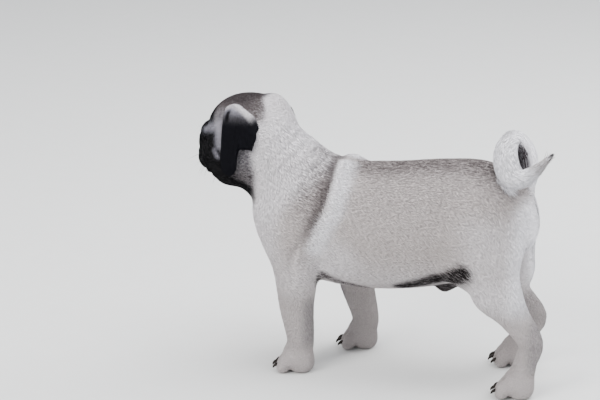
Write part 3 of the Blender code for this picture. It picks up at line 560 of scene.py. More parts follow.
@dataclass(frozen=True, eq=False)
class PugForm:
    """The whole animal as one field, in the dog's frame."""

    head: HeadForm = HeadForm()
    tail: TailForm = TailForm()
    chest_radius: float = 0.078
    chest_flatness: float = 0.92
    withers: float = 0.258
    shoulder_ridge: tuple = (  # place, radius, and rise against the radius
        (-0.04, -0.017, 0.249, 0.009, -1.25),
        (-0.037, -0.0455, 0.2345, 0.009, -1.5),
        (-0.041, -0.059, 0.2105, 0.008, -1.9),
        (-0.055, -0.065, 0.185, 0.0065, -2.5),
        (-0.066, -0.0665, 0.162, 0.005, -3.2),
    )
    shoulder_crease: tuple = (
        (-0.054, -0.018, 0.259, 0.0022, 0.75),
        (-0.05, -0.0475, 0.245, 0.0026, 0.8),
        (-0.053, -0.069, 0.217, 0.0026, 1.1),
        (-0.066, -0.077, 0.188, 0.0026, 1.6),
        (-0.076, -0.0775, 0.164, 0.0022, 2.6),
    )
    elbow_crease: tuple = (
        (-0.083, -0.076, 0.166, 0.0014, 1.6),
        (-0.0885, -0.0765, 0.156, 0.0018, 0.8),
        (-0.091, -0.075, 0.142, 0.0018, 0.8),
        (-0.0895, -0.072, 0.126, 0.0014, 2.0),
    )

    @property
    def limbs(self) -> dict[str, list[tuple]]:
        """Stations of the four legs.

        Returns:
            Rows of place and radii under each leg's name.
        """
        return {
            "foreleg_left": fore_limb(LEFT, -0.09, -0.084),
            "foreleg_right": fore_limb(RIGHT, -0.05, -0.031),
            "hindleg_left": hind_limb(
                LEFT, (0.157, 0.124), (0.179, 0.097), (0.199, 0.069), (0.194, 0.045), (0.189, 0.026)
            ),
            "hindleg_right": hind_limb(
                RIGHT, (0.14, 0.124), (0.158, 0.095), (0.183, 0.066), (0.172, 0.044), (0.162, 0.026)
            ),
        }

    @property
    def paws(self) -> dict[str, PawForm]:
        """The four paws.

        Returns:
            The paws under their names.
        """
        return {
            "forepaw_left": PawForm(-0.091, -0.05, math.radians(4)),
            "forepaw_right": PawForm(-0.04, 0.05, math.radians(-4)),
            "hindpaw_left": PawForm(0.181, -0.051, math.radians(8)),
            "hindpaw_right": PawForm(0.155, 0.051, math.radians(-6)),
        }

    def trunk(self, points: Points) -> np.ndarray:
        """Field of chest, belly, rump and neck.

        Args:
            points: places in the dog's frame.

        Returns:
            One value a point, less than 0 inside.
        """
        solid = sweep(
            points,
            [(-0.0935, 0, 0.186, 0.06), (-0.06, 0, 0.178, 0.073), (-0.015, 0, 0.178, self.chest_radius),
             (0.035, 0, 0.183, self.chest_radius), (0.085, 0, 0.193, 0.075), (0.124, 0, 0.2025, 0.066),
             (0.1455, 0, 0.197, 0.049)],
            flatness=self.chest_flatness,
        )
        solid = fuse(solid, ball(points, (-0.097, 0, 0.177), (0.0395, 0.05, 0.05)), 0.03)
        solid = fuse(solid, ball(points, (-0.04, 0, self.withers - 0.016), (0.02, 0.034, 0.015)), 0.012)
        sheath = [(0.106, 0, 0.129, 0.0125), (0.082, 0, 0.1135, 0.0115)]
        solid = fuse(solid, sweep(points, sheath, steps=1), 0.01)
        for side in SIDES:
            shoulder = [(-0.05, 0.034 * side, 0.218, 0.026), (-0.085, 0.042 * side, 0.19, 0.034),
                        (-0.0985, 0.044 * side, 0.17, 0.0305)]
            solid = fuse(solid, sweep(points, shoulder), 0.022)
            solid = fuse(solid, ball(points, (0.132, 0.04 * side, 0.18), (0.0435, 0.034, 0.061)), 0.024)
            thigh = [(0.148, 0.044 * side, 0.165, 0.0315), (0.1555, 0.048 * side, 0.128, 0.026)]
            solid = fuse(solid, sweep(points, thigh), 0.016)
        stub = [(0.146, 0, 0.216, 0.024), (0.166, 0.003, 0.232, 0.015)]
        solid = fuse(solid, sweep(points, stub, steps=1), 0.012)
        back = self.head.to_dog((-0.024, 0, -0.008))
        neck = sweep(points, [(-0.088, 0, 0.19, 0.062), (-0.1085, 0.001, 0.2265, 0.0535), (*back, 0.046)])
        nape = ball(points, (-0.137, 0.006, 0.3005), (0.0195, 0.027, 0.0285))
        return fuse(solid, fuse(neck, nape, 0.012), 0.022)

    def flesh(self, points: Points) -> np.ndarray:
        """Field of the body without its tail.

        Args:
            points: places in the dog's frame.

        Returns:
            One value a point, less than 0 inside.
        """
        solid = fuse(self.trunk(points), self.head.shape(points), 0.01)
        for stations in self.limbs.values():
            solid = fuse(solid, sweep(points, stations), 0.014)
        for paw in self.paws.values():
            solid = fuse(solid, paw.shape(points), 0.006)
        return solid

    def folded(self, points: Points) -> np.ndarray:
        """Field of the body with the loose skin behind its shoulders.

        Args:
            points: places in the dog's frame.

        Returns:
            One value a point, less than 0 inside.
        """
        solid = self.flesh(points)
        for side in SIDES:
            ridge = self.laid(self.shoulder_ridge, side)
            solid = fuse(solid, sweep(points, ridge, reach=0.016), 0.016)
            crease = self.laid(self.shoulder_crease, side)
            solid = carve(solid, sweep(points, crease, reach=0.008), 0.007)
            fold = self.laid(self.elbow_crease, side)
            solid = carve(solid, sweep(points, fold, reach=0.008), 0.006)
        return solid

    @lru_cache(maxsize=None)
    def laid(self, stations: tuple, side: float) -> np.ndarray:
        """Stations of the left side moved onto the body, and out from it by rise times their radius.

        Args:
            stations: rows of place, radius and rise.
            side: -1 for the left side and +1 for the right one.

        Returns:
            Rows of place and radius.
        """
        rows = np.array(stations) * (1.0, -side, 1.0, 1.0, 1.0)
        spots = settle(self.flesh, rows[:, :3], rounds=8)
        out = unit(gradient(self.flesh, spots))
        return np.hstack([spots + out * rows[:, 4:] * rows[:, 3:4], rows[:, 3:4]])

    def shape(self, points: Points) -> np.ndarray:
        """Field of the whole animal, body and tail."""
        return fuse(self.folded(points), self.tail.shape(points), 0.004)


FORM = PugForm()


def origin_shift() -> np.ndarray:
    """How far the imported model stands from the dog's own frame, read at the left eye.

    Returns:
        The step from the dog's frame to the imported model's.
    """
    low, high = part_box("eye_left")
    middle, _ = FORM.head.eye(1.0)
    return np.array((low + high) / 2) - FORM.head.to_dog(middle)


SHIFT = origin_shift()


class Slot(Enum):
    """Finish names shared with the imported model."""

    FAWN = "fawn_coat"
    PALE = "pale_coat"
    MASK = "black_mask"
    NOSE = "nose_leather"
    EYE = "eye_brown"


def tone(red: float, green: float, blue: float) -> np.ndarray:
    """Linear colour of display values from 0 to 255."""
    share = np.array((red, green, blue)) / 255
    return np.where(share <= 0.04045, share / 12.92, ((share + 0.055) / 1.055) ** 2.4)


def mix(under: np.ndarray, over: np.ndarray, weight: np.ndarray) -> np.ndarray:
    """Blends rows of under towards over by weight."""
    return under + (over - under) * np.clip(weight, 0.0, 1.0)[:, None]


def mixed(ground: np.ndarray, layers: tuple, count: int) -> np.ndarray:
    """Blends layers over one even ground.

    Args:
        ground: the value under all layers.
        layers: pairs of a value and its weights, the lowest layer first.
        count: how many rows there are.

    Returns:
        The blended rows.
    """
    out = np.tile(np.asarray(ground), (count, 1))
    for value, weight in layers:
        out = mix(out, np.asarray(value), weight)
    return out


def path_distance(points: Points, path: tuple, mirrored: bool = False) -> np.ndarray:
    """Distance of points to a line through places.

    Args:
        points: places to read.
        path: the line's corners.
        mirrored: reads both sides of the body as the left one.

    Returns:
        The distances.
    """
    at = np.column_stack([points[:, 0], -np.abs(points[:, 1]), points[:, 2]]) if mirrored else points
    best = np.full(len(points), OUTSIDE)
    for start, end in zip(np.array(path)[:-1], np.array(path)[1:]):
        along = end - start
        t = np.clip((at - start) @ along / (along @ along), 0.0, 1.0)
        best = np.minimum(best, np.linalg.norm(at - start - t[:, None] * along, axis=1))
    return best


@dataclass(frozen=True, eq=False)
class Regions:
    """Where the parts of the animal lie, each as a weight from 0 to 1."""

    form: PugForm = FORM

    def head(self, points: Points) -> np.ndarray:
        """The head as far as the nape.

        Args:
            points: places in the dog's frame.

        Returns:
            A weight from 0 to 1 for each point.
        """
        local = self.form.head.from_dog(points)
        off = np.linalg.norm(local - (-0.002, 0, 0), axis=1)
        behind = rise_between(off, 0.066, 0.084) * (1 - rise_between(local[:, 0], 0.0, 0.02))
        return (1 - behind) * (off < 0.12) * rise_between(local[:, 0], -0.062, -0.04)

    def face(self, points: Points) -> np.ndarray:
        """The muzzle, the eyes' surroundings and the forehead."""
        local = self.form.head.from_dog(points)
        return self.head(points) * rise_between(local[:, 0], -0.005, 0.022)

    def neck(self, points: Points) -> np.ndarray:
        """The neck, ahead of the shoulders and behind the head."""
        ahead = (points[:, 0] + 0.064) * -0.664 + (points[:, 2] - 0.262) * 0.748
        return rise_between(ahead, -0.024, 0.004) * (1 - self.head(points))

    def legs(self, points: Points) -> np.ndarray:
        """The legs below the elbow and knee."""
        return 1 - rise_between(points[:, 2], 0.085, 0.125)

    def paws(self, points: Points) -> np.ndarray:
        """The feet."""
        return 1 - rise_between(points[:, 2], 0.026, 0.044)

    def tail(self, points: Points) -> np.ndarray:
        """The tail."""
        _, _, off = self.form.tail.locate(points)
        return (1 - rise_between(off, 0.0015, 0.006)) * rise_between(points[:, 2], 0.226, 0.24)

    def breech(self, points: Points) -> np.ndarray:
        """The backs of the thighs below the tail."""
        x, _, z = points.T
        level = rise_between(z, 0.1, 0.13) * (1 - rise_between(z, 0.225, 0.245))
        return rise_between(x, 0.162, 0.182) * level

    def eyes(self, points: Points, wider: float = 0.0) -> np.ndarray:
        """The lids round both eyes, and wider round them.

        Args:
            points: places in the dog's frame.
            wider: how far beyond the lids the region goes.

        Returns:
            A weight from 0 to 1 for each point.
        """
        local = self.form.head.from_dog(points)
        off = np.full(len(points), OUTSIDE)
        for side in SIDES:
            off = np.minimum(off, np.linalg.norm(local - self.form.head.eye(side)[0], axis=1))
        return 1 - rise_between(off - wider, 0.0125, 0.0155)

    def nose(self, points: Points) -> np.ndarray:
        """The skin that meets the nose leather."""
        local = self.form.head.from_dog(points)
        return 1 - rise_between(np.linalg.norm(local - self.form.head.nose_place, axis=1), 0.012, 0.017)


REGIONS = Regions()


@dataclass(frozen=True, eq=False)
class Markings:
    """Colours of the coat, and where each lies, with painted shade at the sheath, between flank and hind
    leg, under the elbows, in the shoulder crease and the tail's curl, under the ears and on the far legs.
    Skin and tufts read the same ones.
    """

    regions: Regions = REGIONS
    fawn: np.ndarray = field(default_factory=lambda: tone(193, 184, 182))
    pale: np.ndarray = field(default_factory=lambda: tone(228, 223, 226))
    white: np.ndarray = field(default_factory=lambda: tone(245, 243, 248))
    # the darker hair colours below also paint shade on the belly, in the creases, in the tail's curl and
    # under the ears
    smoke_and_shade: np.ndarray = field(default_factory=lambda: tone(82, 74, 74))
    brown: np.ndarray = field(default_factory=lambda: tone(62, 55, 57))
    slate_and_shade: np.ndarray = field(default_factory=lambda: tone(96, 93, 98))
    grey: np.ndarray = field(default_factory=lambda: tone(176, 174, 186))
    black: np.ndarray = field(default_factory=lambda: tone(11, 11, 14))
    # dark line along the shoulder crease: partly dark hair, partly painted shade in the crease
    shoulder_line: tuple = (
        (-0.0596, 0.0, 0.2569), (-0.056, -0.0445, 0.2451), (-0.06, -0.067, 0.218),
        (-0.071, -0.0753, 0.1885), (-0.079, -0.075, 0.166),
    )
    shoulder_cape: tuple = (
        (-0.07, 0.0, 0.26), (-0.07, -0.0445, 0.242), (-0.076, -0.062, 0.215),
        (-0.084, -0.07, 0.19),
    )
    stripe: tuple = (
        (-0.0403, -0.015, 0.2559), (-0.0373, -0.0508, 0.2398), (-0.0413, -0.0655, 0.2129),
        (-0.0552, -0.0721, 0.1863), (-0.064, -0.073, 0.165),
    )
    # dark hair round the sheath, deepened with painted shade under the belly
    sheath: tuple = ((0.05, 0.0, 0.104), (0.106, 0.0, 0.123), (0.118, -0.02, 0.138))
    # painted shadow where the flank meets the hind leg
    groin_shadow: tuple = (
        (0.036, -0.037, 0.117), (0.066, -0.044, 0.128), (0.09, -0.05, 0.138), (0.117, -0.064, 0.155),
    )
    # painted shade under the elbow, between the chest and the foreleg
    armpit_shade: tuple = ((-0.062, -0.05, 0.124), (-0.044, -0.04, 0.113), (-0.015, -0.03, 0.105))
    slit: tuple = ((0.185, 0.0, 0.23), (0.19, 0.0, 0.218))
    temple: tuple = (
        (0.031, 0.0385, 0.0175), (0.013, 0.047, 0.021), (0.005, 0.0465, 0.026),
        (0.0015, 0.0515, 0.014), (-0.0015, 0.0545, 0.003),
    )
    cheek: tuple = ((0.006, 0.056, -0.005), (0.001, 0.0562, -0.012))
    heights: tuple = (-0.06, -0.05, -0.038, -0.026, -0.012, 0.0, 0.016, 0.03, 0.055)
    mask_edges: tuple = (-0.034, -0.032, -0.018, -0.012, -0.01, -0.006, 0.004, 0.016, 0.03)
    shade_edges: tuple = (-0.036, -0.042, -0.047, -0.049, -0.048, -0.05, -0.051, -0.046, -0.034)

    @staticmethod
    def near(points: Points, path: tuple, core: float, edge: float, mirrored: bool = True) -> np.ndarray:
        """1 within core of a line through places, 0 beyond edge of it."""
        return 1 - rise_between(path_distance(points, path, mirrored), core, edge)

    def back(self, points: Points, fleck: np.ndarray) -> tuple:
        """Layers of legs, haunch, elbow and back, with painted shade on the far legs.

        Args:
            points: places in the dog's frame.
            fleck: a small random amount for each point.

        Returns:
            Pairs of a colour and its weights, the lowest layer first.
        """
        x, y, z = points.T
        across = np.abs(y)
        legs = 1 - rise_between(z, 0.09, 0.125)
        haunch = rise_between(x, 0.09, 0.14) * (1 - rise_between(z, 0.205, 0.235)) * (1 - legs)
        from_elbow = np.linalg.norm(points * (1, 0, 1) - (-0.045, 0, 0.15), axis=1)
        beside = rise_between(across, 0.04, 0.06)
        trace = (1 - rise_between(across, 0.012, 0.046)) * rise_between(z, 0.2, 0.235)
        trace *= rise_between(x, -0.05, -0.02) * (1 - rise_between(x, 0.155, 0.18))
        saddle = (1 - rise_between(across, 0.045, 0.08)) * rise_between(z, 0.15, 0.225)
        return (
            (self.pale, 0.5 * (1 - rise_between(z, 0.12, 0.175)) * (1 - 0.65 * legs)),
            # the legs take a little dark tint, the far (right) legs more: painted shade on the side away
            # from the light
            (self.smoke_and_shade, legs * (0.13 + 0.2 * rise_between(y, 0.01, 0.03))),
            (self.pale, 0.55 * haunch),
            (self.pale, 0.6 * beside * (1 - rise_between(from_elbow, 0.015, 0.045))),
            (self.smoke_and_shade, trace * (0.72 + fleck)),
            (self.smoke_and_shade, saddle * rise_between(x, -0.04, 0.0) * (0.16 + 0.5 * fleck)),
        )

    def front(self, points: Points, fleck: np.ndarray) -> tuple:
        """Layers of neck, breast and shoulder, with painted shade in the shoulder crease.

        Args:
            points: places in the dog's frame.
            fleck: a small random amount for each point.

        Returns:
            Pairs of a colour and its weights, the lowest layer first.
        """
        x, _, z = points.T
        neck = self.regions.neck(points)
        cape = self.near(points, self.shoulder_cape, 0.006, 0.034) * rise_between(z, 0.185, 0.225)
        line = self.near(points, self.shoulder_line, 0.002, 0.013)
        return (
            (self.pale, neck * 0.95),
            (self.white, rise_between(z, 0.262, 0.3) * neck * 0.7),
            (self.pale, 0.75 * (1 - rise_between(x, -0.12, -0.095)) * rise_between(z, 0.12, 0.165)),
            (self.smoke_and_shade, cape * (0.4 + fleck)),
            # the crease line: partly dark hair, partly painted shade
            (self.smoke_and_shade, line * (0.75 + 0.4 * fleck) * rise_between(z, 0.16, 0.2)),
            (self.white, self.near(points, self.stripe, 0.002, 0.017) * (0.88 + 0.5 * fleck)),
        )

    def below(self, points: Points, fleck: np.ndarray) -> tuple:
        """Layers of breech, belly and shanks, with painted shade at the sheath, where the flank meets the
        hind leg, under the elbow and on the backs of the shanks.

        Args:
            points: places in the dog's frame.
            fleck: a small random amount for each point.

        Returns:
            Pairs of a colour and its weights, the lowest layer first.
        """
        x, _, z = points.T
        shank = rise_between(z, 0.03, 0.045) * (1 - rise_between(z, 0.09, 0.11))
        fore = rise_between(x, -0.084, -0.07) * (1 - rise_between(x, -0.06, -0.05))
        rear = rise_between(x, 0.19, 0.205) + fore
        return (
            (self.white, self.regions.breech(points)),
            # sheath: dark hair and painted shade; the next two layers: painted shade
            (self.brown * 0.6, self.near(points, self.sheath, 0.016, 0.036) * (0.95 + fleck * 0.3)),
            (self.brown * 0.25, self.near(points, self.groin_shadow, 0.005, 0.019) * (1.1 + fleck * 0.9)),
            (self.brown, self.near(points, self.armpit_shade, 0.006, 0.013) * (0.7 + fleck)),
            (self.slate_and_shade, self.near(points, self.slit, 0.0016, 0.0045, False)),
            # backs of the shanks: partly darker feathering, partly painted shade
            (self.slate_and_shade, shank * rear * (0.45 + fleck * 0.5)),
        )

    def muzzle(self, points: Points, grain: np.ndarray) -> tuple:
        """Layers of the head, with painted shade under the ears.

        Args:
            points: places in the dog's frame.
            grain: a random share for each point.

        Returns:
            Pairs of a colour and its weights, the lowest layer first.
        """
        local = self.regions.form.head.from_dog(points)
        hx, hy, hz = local[:, 0], np.abs(local[:, 1]), local[:, 2]
        folded = np.column_stack([hx, hy, hz])
        fleck = (grain - 0.5) * 0.8
        edge = np.interp(hz, self.heights, self.mask_edges)
        # behind the mask the head darkens to grey, and darker still lower down: partly the grey edge of
        # the mask, partly painted shade under the hanging ears
        shade = rise_between(hx - np.interp(hz, self.heights, self.shade_edges), 0.0, 0.012)
        low = (1 - rise_between(hz, -0.04, -0.005))[:, None]
        under = self.slate_and_shade * 0.9 + (self.brown * 0.8 - self.slate_and_shade * 0.9) * low
        crown = rise_between(hz, 0.022, 0.036) * (1 - rise_between(hy, 0.028, 0.042))
        back = np.interp(local[:, 1], (-0.014, 0.004, 0.016, 0.03), (-0.016, -0.031, -0.046, -0.054))
        top = rise_between(hz, 0.034, 0.046) * rise_between(hx, -0.034, -0.012)
        top = top * (1 - rise_between(hy, 0.02, 0.034))
        temple = path_distance(folded, self.temple) + 0.007 * (grain - 0.5)
        cheek = path_distance(folded, self.cheek) + 0.003 * (grain - 0.5)
        return (
            (under, shade * (0.9 + fleck * 0.6)),
            (self.smoke_and_shade, crown * rise_between(hx - back, -0.004, 0.006) * (0.92 + fleck * 0.8)),
            (self.brown * 0.85, top * (0.85 + fleck * 0.7)),
            (self.black, rise_between(hx - edge, -0.006, 0.008) * (1.0 + 0.3 * fleck)),
            (self.grey, (1 - rise_between(temple, 0.0, 0.0105)) * (0.56 + 1.2 * fleck)),
            (self.grey, (1 - rise_between(cheek, 0.0002, 0.006)) * (0.4 + 1.2 * fleck)),
            (self.black, self.regions.eyes(points) + self.regions.nose(points)),
        )

    def colour(self, points: Points, normals: np.ndarray, grain: np.ndarray) -> np.ndarray:
        """Colours of the coat.

        Args:
            points: places in the dog's frame.
            normals: outward directions there.
            grain: a random share for each point, which peppers the dark parts.

        Returns:
            Linear colours, one row each.
        """
        count, fleck = len(points), (grain - 0.5) * 0.9
        layers = (*self.back(points, fleck), *self.front(points, fleck), *self.below(points, fleck))
        out = mixed(self.fawn, layers, count)
        out = mix(out, mixed(self.pale, self.muzzle(points, grain), count), self.regions.head(points))
        share, _, _ = self.regions.form.tail.locate(points)
        # the side of the tail that looks into the curl is painted dark: painted shade inside the curl
        inside = rise_between(self.regions.form.tail.inner(points, normals), -0.05, 0.45)
        tip = rise_between(share, 0.74, 0.82)
        curl = mixed(self.white, (
            (self.brown, inside * (0.92 + (grain - 0.5) * 0.4)),
            (self.fawn * 0.55, tip * (0.75 + (grain - 0.5) * 0.9)),
            (self.brown, tip * inside * 0.8),
            (self.black, rise_between(share + 0.03 * (grain - 0.5), 0.915, 0.955)),
        ), count)
        return np.clip(mix(out, curl, self.regions.tail(points)), 0.004, 1.0)


MARKINGS = Markings()
Tuft = tuple[float, float, float, float]  # length, width, tufts a square millimetre, rise of the tips


@dataclass(frozen=True, eq=False)
class CoatRule:
    """How deep, long, wide and dense the fur is, by region."""

    regions: Regions = REGIONS
    body: Tuft = (0.01, 0.00095, 0.66, 0.0009)
    head: Tuft = (0.0042, 0.00085, 1.1, 0.0006)
    face: Tuft = (0.0026, 0.00068, 1.55, 0.0003)
    neck: Tuft = (0.012, 0.00105, 0.68, 0.0012)
    legs: Tuft = (0.0064, 0.0009, 0.82, 0.0006)
    paws: Tuft = (0.0034, 0.00072, 1.2, 0.0004)
    tail: Tuft = (0.016, 0.0011, 1.7, 0.0028)
    breech: Tuft = (0.015, 0.00115, 0.85, 0.0018)
    body_depth: float = 0.0018  # how far the skin lies inside the flesh's outline
    paw_depth: float = 0.0008
    head_depth: float = 0.0011
    face_depth: float = 0.0006
    rim_depth: float = 0.0002  # round the eyes and the nose

    def sizes(self, points: Points, normals: np.ndarray) -> np.ndarray:
        """Rows of length, width, density and rise of the tufts at each point.

        Args:
            points: places in the dog's frame.
            normals: the surface's unit normals there.

        Returns:
            One row a point.
        """
        curl = self.regions.tail(points)
        parts = ("neck", "legs", "paws", "breech", "head", "face")
        layers = [(getattr(self, part), getattr(self.regions, part)(points)) for part in parts]
        out = mixed(self.body, (*layers, (self.tail, curl)), len(points))
        inside = rise_between(self.regions.form.tail.inner(points, normals), -0.2, 0.4)
        out[:, 0] *= 1 - 0.5 * inside * curl
        out[:, 3] *= 1 - 0.6 * inside * curl
        share, _, _ = self.regions.form.tail.locate(points)
        left = (1 - share) * self.regions.form.tail.course()[1][-1]
        near_tip = curl * (1 - rise_between(left, 0.02, 0.06))
        out[:, 0] = np.where(curl > 0.5, np.minimum(out[:, 0], left * 0.75 + 0.001), out[:, 0])
        out[:, 3] *= 1 - 0.7 * near_tip
        return out

    def depth(self, points: Points) -> np.ndarray:
        """How far the skin lies inside the flesh's outline.

        Args:
            points: places in the dog's frame.

        Returns:
            One depth a point.
        """
        regions = self.regions
        rims = np.maximum(regions.eyes(points), regions.nose(points))
        weights = (regions.paws(points), regions.head(points), regions.face(points), rims)
        depths = (self.paw_depth, self.head_depth, self.face_depth, self.rim_depth)
        out = np.full(len(points), self.body_depth)
        for depth, weight in zip(depths, weights):
            out += (depth - out) * weight
        return out * (1 - regions.tail(points))

    def skin(self, points: Points) -> np.ndarray:
        """Field of the bare skin, cut flat a little above the floor."""
        skin = self.regions.form.shape(points) + self.depth(points)
        return carve(skin, points[:, 2] - SOLE_LEVEL, 0.0016)

    def lie(self, points: Points, normals: np.ndarray) -> np.ndarray:
        """The way the hairs lie, as unit vectors in the skin's own plane.

        Args:
            points: places in the dog's frame.
            normals: the surface's unit normals there.

        Returns:
            One unit vector a point.
        """
        form = self.regions.form
        side = rise_between(np.abs(points[:, 1]), 0.02, 0.065)
        haunch = rise_between(points[:, 0], 0.115, 0.165)
        ahead = 1 - rise_between(points[:, 0], -0.135, -0.095)
        throat = ahead * (1 - rise_between(points[:, 2], 0.255, 0.285))
        from_nose = form.head.from_dog(points) - form.head.nose_place
        _, aims, _ = form.tail.locate(points)
        way = np.column_stack([np.ones(len(points)), np.zeros(len(points)), -0.42 * side])
        for aim, weight in (
            ((0.45, 0.0, -0.9), haunch * side),
            ((0.65, 0.0, -0.8), self.regions.neck(points)),
            ((0.12, 0.0, -1.0), throat),
            ((0.16, 0.0, -1.0), self.regions.legs(points)),
            ((-0.8, 0.0, -0.55), self.regions.paws(points)),
            (unit(from_nose @ form.head.axes.T), self.regions.head(points)),
            (aims, self.regions.tail(points)),
        ):
            way = mix(way, np.asarray(aim), weight)
        way -= normals * (way * normals).sum(axis=1, keepdims=True)
        return unit(way)


COAT = CoatRule()


@dataclass(frozen=True)
class NetSize:
    """How finely a field is turned into a mesh."""

    low: Place
    high: Place
    cell: float
    stride: int = 3  # cells of the first, coarse pass
    margin: float = 0.013  # how near the surface the fine pass reads


class SurfaceNet:
    """A mesh with one vertex in each cell that a field's surface crosses."""

    def __init__(self, shape: Field, size: NetSize) -> None:
        """Keeps the field and its size."""
        self.shape = shape
        self.size = size

    def sample(self) -> np.ndarray:
        """The field on the grid, read only near the surface.

        Returns:
            A value for each grid point, large where the surface is far.
        """
        size = self.size
        span = np.asarray(size.high) - np.asarray(size.low)
        blocks = np.ceil(span / (size.cell * size.stride)).astype(int)
        axes = [size.low[n] + size.cell * size.stride * np.arange(blocks[n] + 1) for n in range(3)]
        coarse = self.read(np.stack(np.meshgrid(*axes, indexing="ij"), -1).reshape(-1, 3))
        coarse = coarse.reshape(blocks + 1)
        nearest = [np.rint(np.arange(n * size.stride + 1) / size.stride).astype(int) for n in blocks]
        values = coarse[np.ix_(*nearest)].copy()
        spots = np.argwhere(np.abs(values) < size.margin)
        values[tuple(spots.T)] = self.read(np.asarray(size.low) + size.cell * spots)
        return values

    def read(self, points: Points, chunk: int = 150_000) -> np.ndarray:
        """The field at many points, some at a time."""
        return np.concatenate([self.shape(points[i : i + chunk]) for i in range(0, len(points), chunk)])

    def build(self) -> tuple[Points, np.ndarray]:
        """Vertices and quads of the surface.

        Returns:
            The vertices, and a row of four numbers for each quad.
        """
        values = self.sample()
        cells = np.array(values.shape) - 1
        total, hits = np.zeros((*cells, 3)), np.zeros(cells)
        for number in range(8):
            a = (number >> 2 & 1, number >> 1 & 1, number & 1)
            for axis in range(3):
                if a[axis]:
                    continue
                b = tuple(v + (n == axis) for n, v in enumerate(a))
                va, vb = self.corner(values, a, cells), self.corner(values, b, cells)
                crossed = (va < 0) != (vb < 0)
                share = np.where(crossed, va / np.where(crossed, va - vb, 1.0), 0.0)
                for n in range(3):
                    total[..., n] += crossed * (a[n] + (share if n == axis else 0.0))
                hits += crossed
        live = hits > 0
        index = np.full(cells, -1)
        index[live] = np.arange(live.sum())
        places = np.argwhere(live) + total[live] / hits[live][:, None]
        return np.asarray(self.size.low) + self.size.cell * places, self.quads(values, cells, index)

    @staticmethod
    def corner(values: np.ndarray, shift: tuple, cells: np.ndarray) -> np.ndarray:
        """Values at one corner of every cell."""
        return values[tuple(slice(s, s + n) for s, n in zip(shift, cells))]

    @staticmethod
    def quads(values: np.ndarray, cells: np.ndarray, index: np.ndarray) -> np.ndarray:
        """A quad across each grid edge that enters or leaves the form.

        Args:
            values: the field on the grid.
            cells: the cells that the surface crosses.
            index: the vertex number of each cell.

        Returns:
            A row of four vertex numbers for each quad.
        """
        out = []
        for axis in range(3):
            u, v = (axis + 1) % 3, (axis + 2) % 3
            first = [slice(1, n) for n in cells]
            first[axis] = slice(0, cells[axis])
            second = list(first)
            second[axis] = slice(1, cells[axis] + 1)
            va, vb = values[tuple(first)], values[tuple(second)]
            for entering, flip in (((va < 0) & (vb >= 0), False), ((va >= 0) & (vb < 0), True)):
                base = np.argwhere(entering) + np.array([0 if n == axis else 1 for n in range(3)])
                ring = []
                for du, dv in ((1, 1), (0, 1), (0, 0), (1, 0)):
                    at = base.copy()
                    at[:, u] -= du
                    at[:, v] -= dv
                    ring.append(index[tuple(at.T)])
                quad = np.stack(ring, axis=1)
                out.append(quad[:, ::-1] if flip else quad)
        return np.concatenate(out)


def make_mesh(name: str, vertices: Points, faces: np.ndarray) -> bpy.types.Mesh:
    """A smooth mesh of faces that all have the same number of corners.

    Args:
        name: the mesh's name.
        vertices: places in the dog's frame.
        faces: rows of vertex numbers.

    Returns:
        The mesh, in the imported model's frame.
    """
    mesh = bpy.data.meshes.new(name)
    mesh.vertices.add(len(vertices))
    mesh.vertices.foreach_set("co", (vertices + SHIFT).astype(np.float32).ravel())
    mesh.loops.add(faces.size)
    mesh.loops.foreach_set("vertex_index", faces.astype(np.int32).ravel())
    mesh.polygons.add(len(faces))
    mesh.polygons.foreach_set("loop_start", (np.arange(len(faces)) * faces.shape[1]).astype(np.int32))
    mesh.update(calc_edges=True)
    mesh.shade_smooth()
    return mesh


def paint(mesh: bpy.types.Mesh, colours: np.ndarray) -> None:
    """Keeps one colour for each vertex under the name the coat's materials read.

    Args:
        mesh: the mesh.
        colours: a row for each vertex.
    """
    layer = mesh.color_attributes.new(name=COLOUR_NAME, type="FLOAT_COLOR", domain="POINT")
    rows = np.column_stack([colours, np.ones(len(colours))]).astype(np.float32)
    layer.data.foreach_set("color", rows.ravel())


def stand(mesh: bpy.types.Mesh, material: bpy.types.Material, slot: Slot, *nodes: str) -> bpy.types.Object:
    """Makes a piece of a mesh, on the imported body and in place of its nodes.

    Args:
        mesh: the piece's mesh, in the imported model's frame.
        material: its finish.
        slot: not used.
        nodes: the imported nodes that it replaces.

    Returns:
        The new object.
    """
    piece = bpy.data.objects.new(mesh.name, mesh)
    bpy.context.scene.collection.objects.link(piece)
    if not mesh.materials:
        mesh.materials.append(material)
    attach(piece, BODY)
    if nodes:
        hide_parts(*nodes)
    LOG.info("%s: %d faces", mesh.name, len(mesh.polygons))
    return piece


def corner_normals(vertices: Points, triangles: np.ndarray) -> np.ndarray:
    """Area-weighted unit normals at the vertices.

    Args:
        vertices: the mesh's vertices.
        triangles: rows of three vertex numbers.

    Returns:
        A unit normal for each vertex.
    """
    a, b, c = (vertices[triangles[:, n]] for n in range(3))
    flat = np.cross(b - a, c - a)
    out = np.zeros_like(vertices)
    for n in range(3):
        np.add.at(out, triangles[:, n], flat)
    return unit(out)


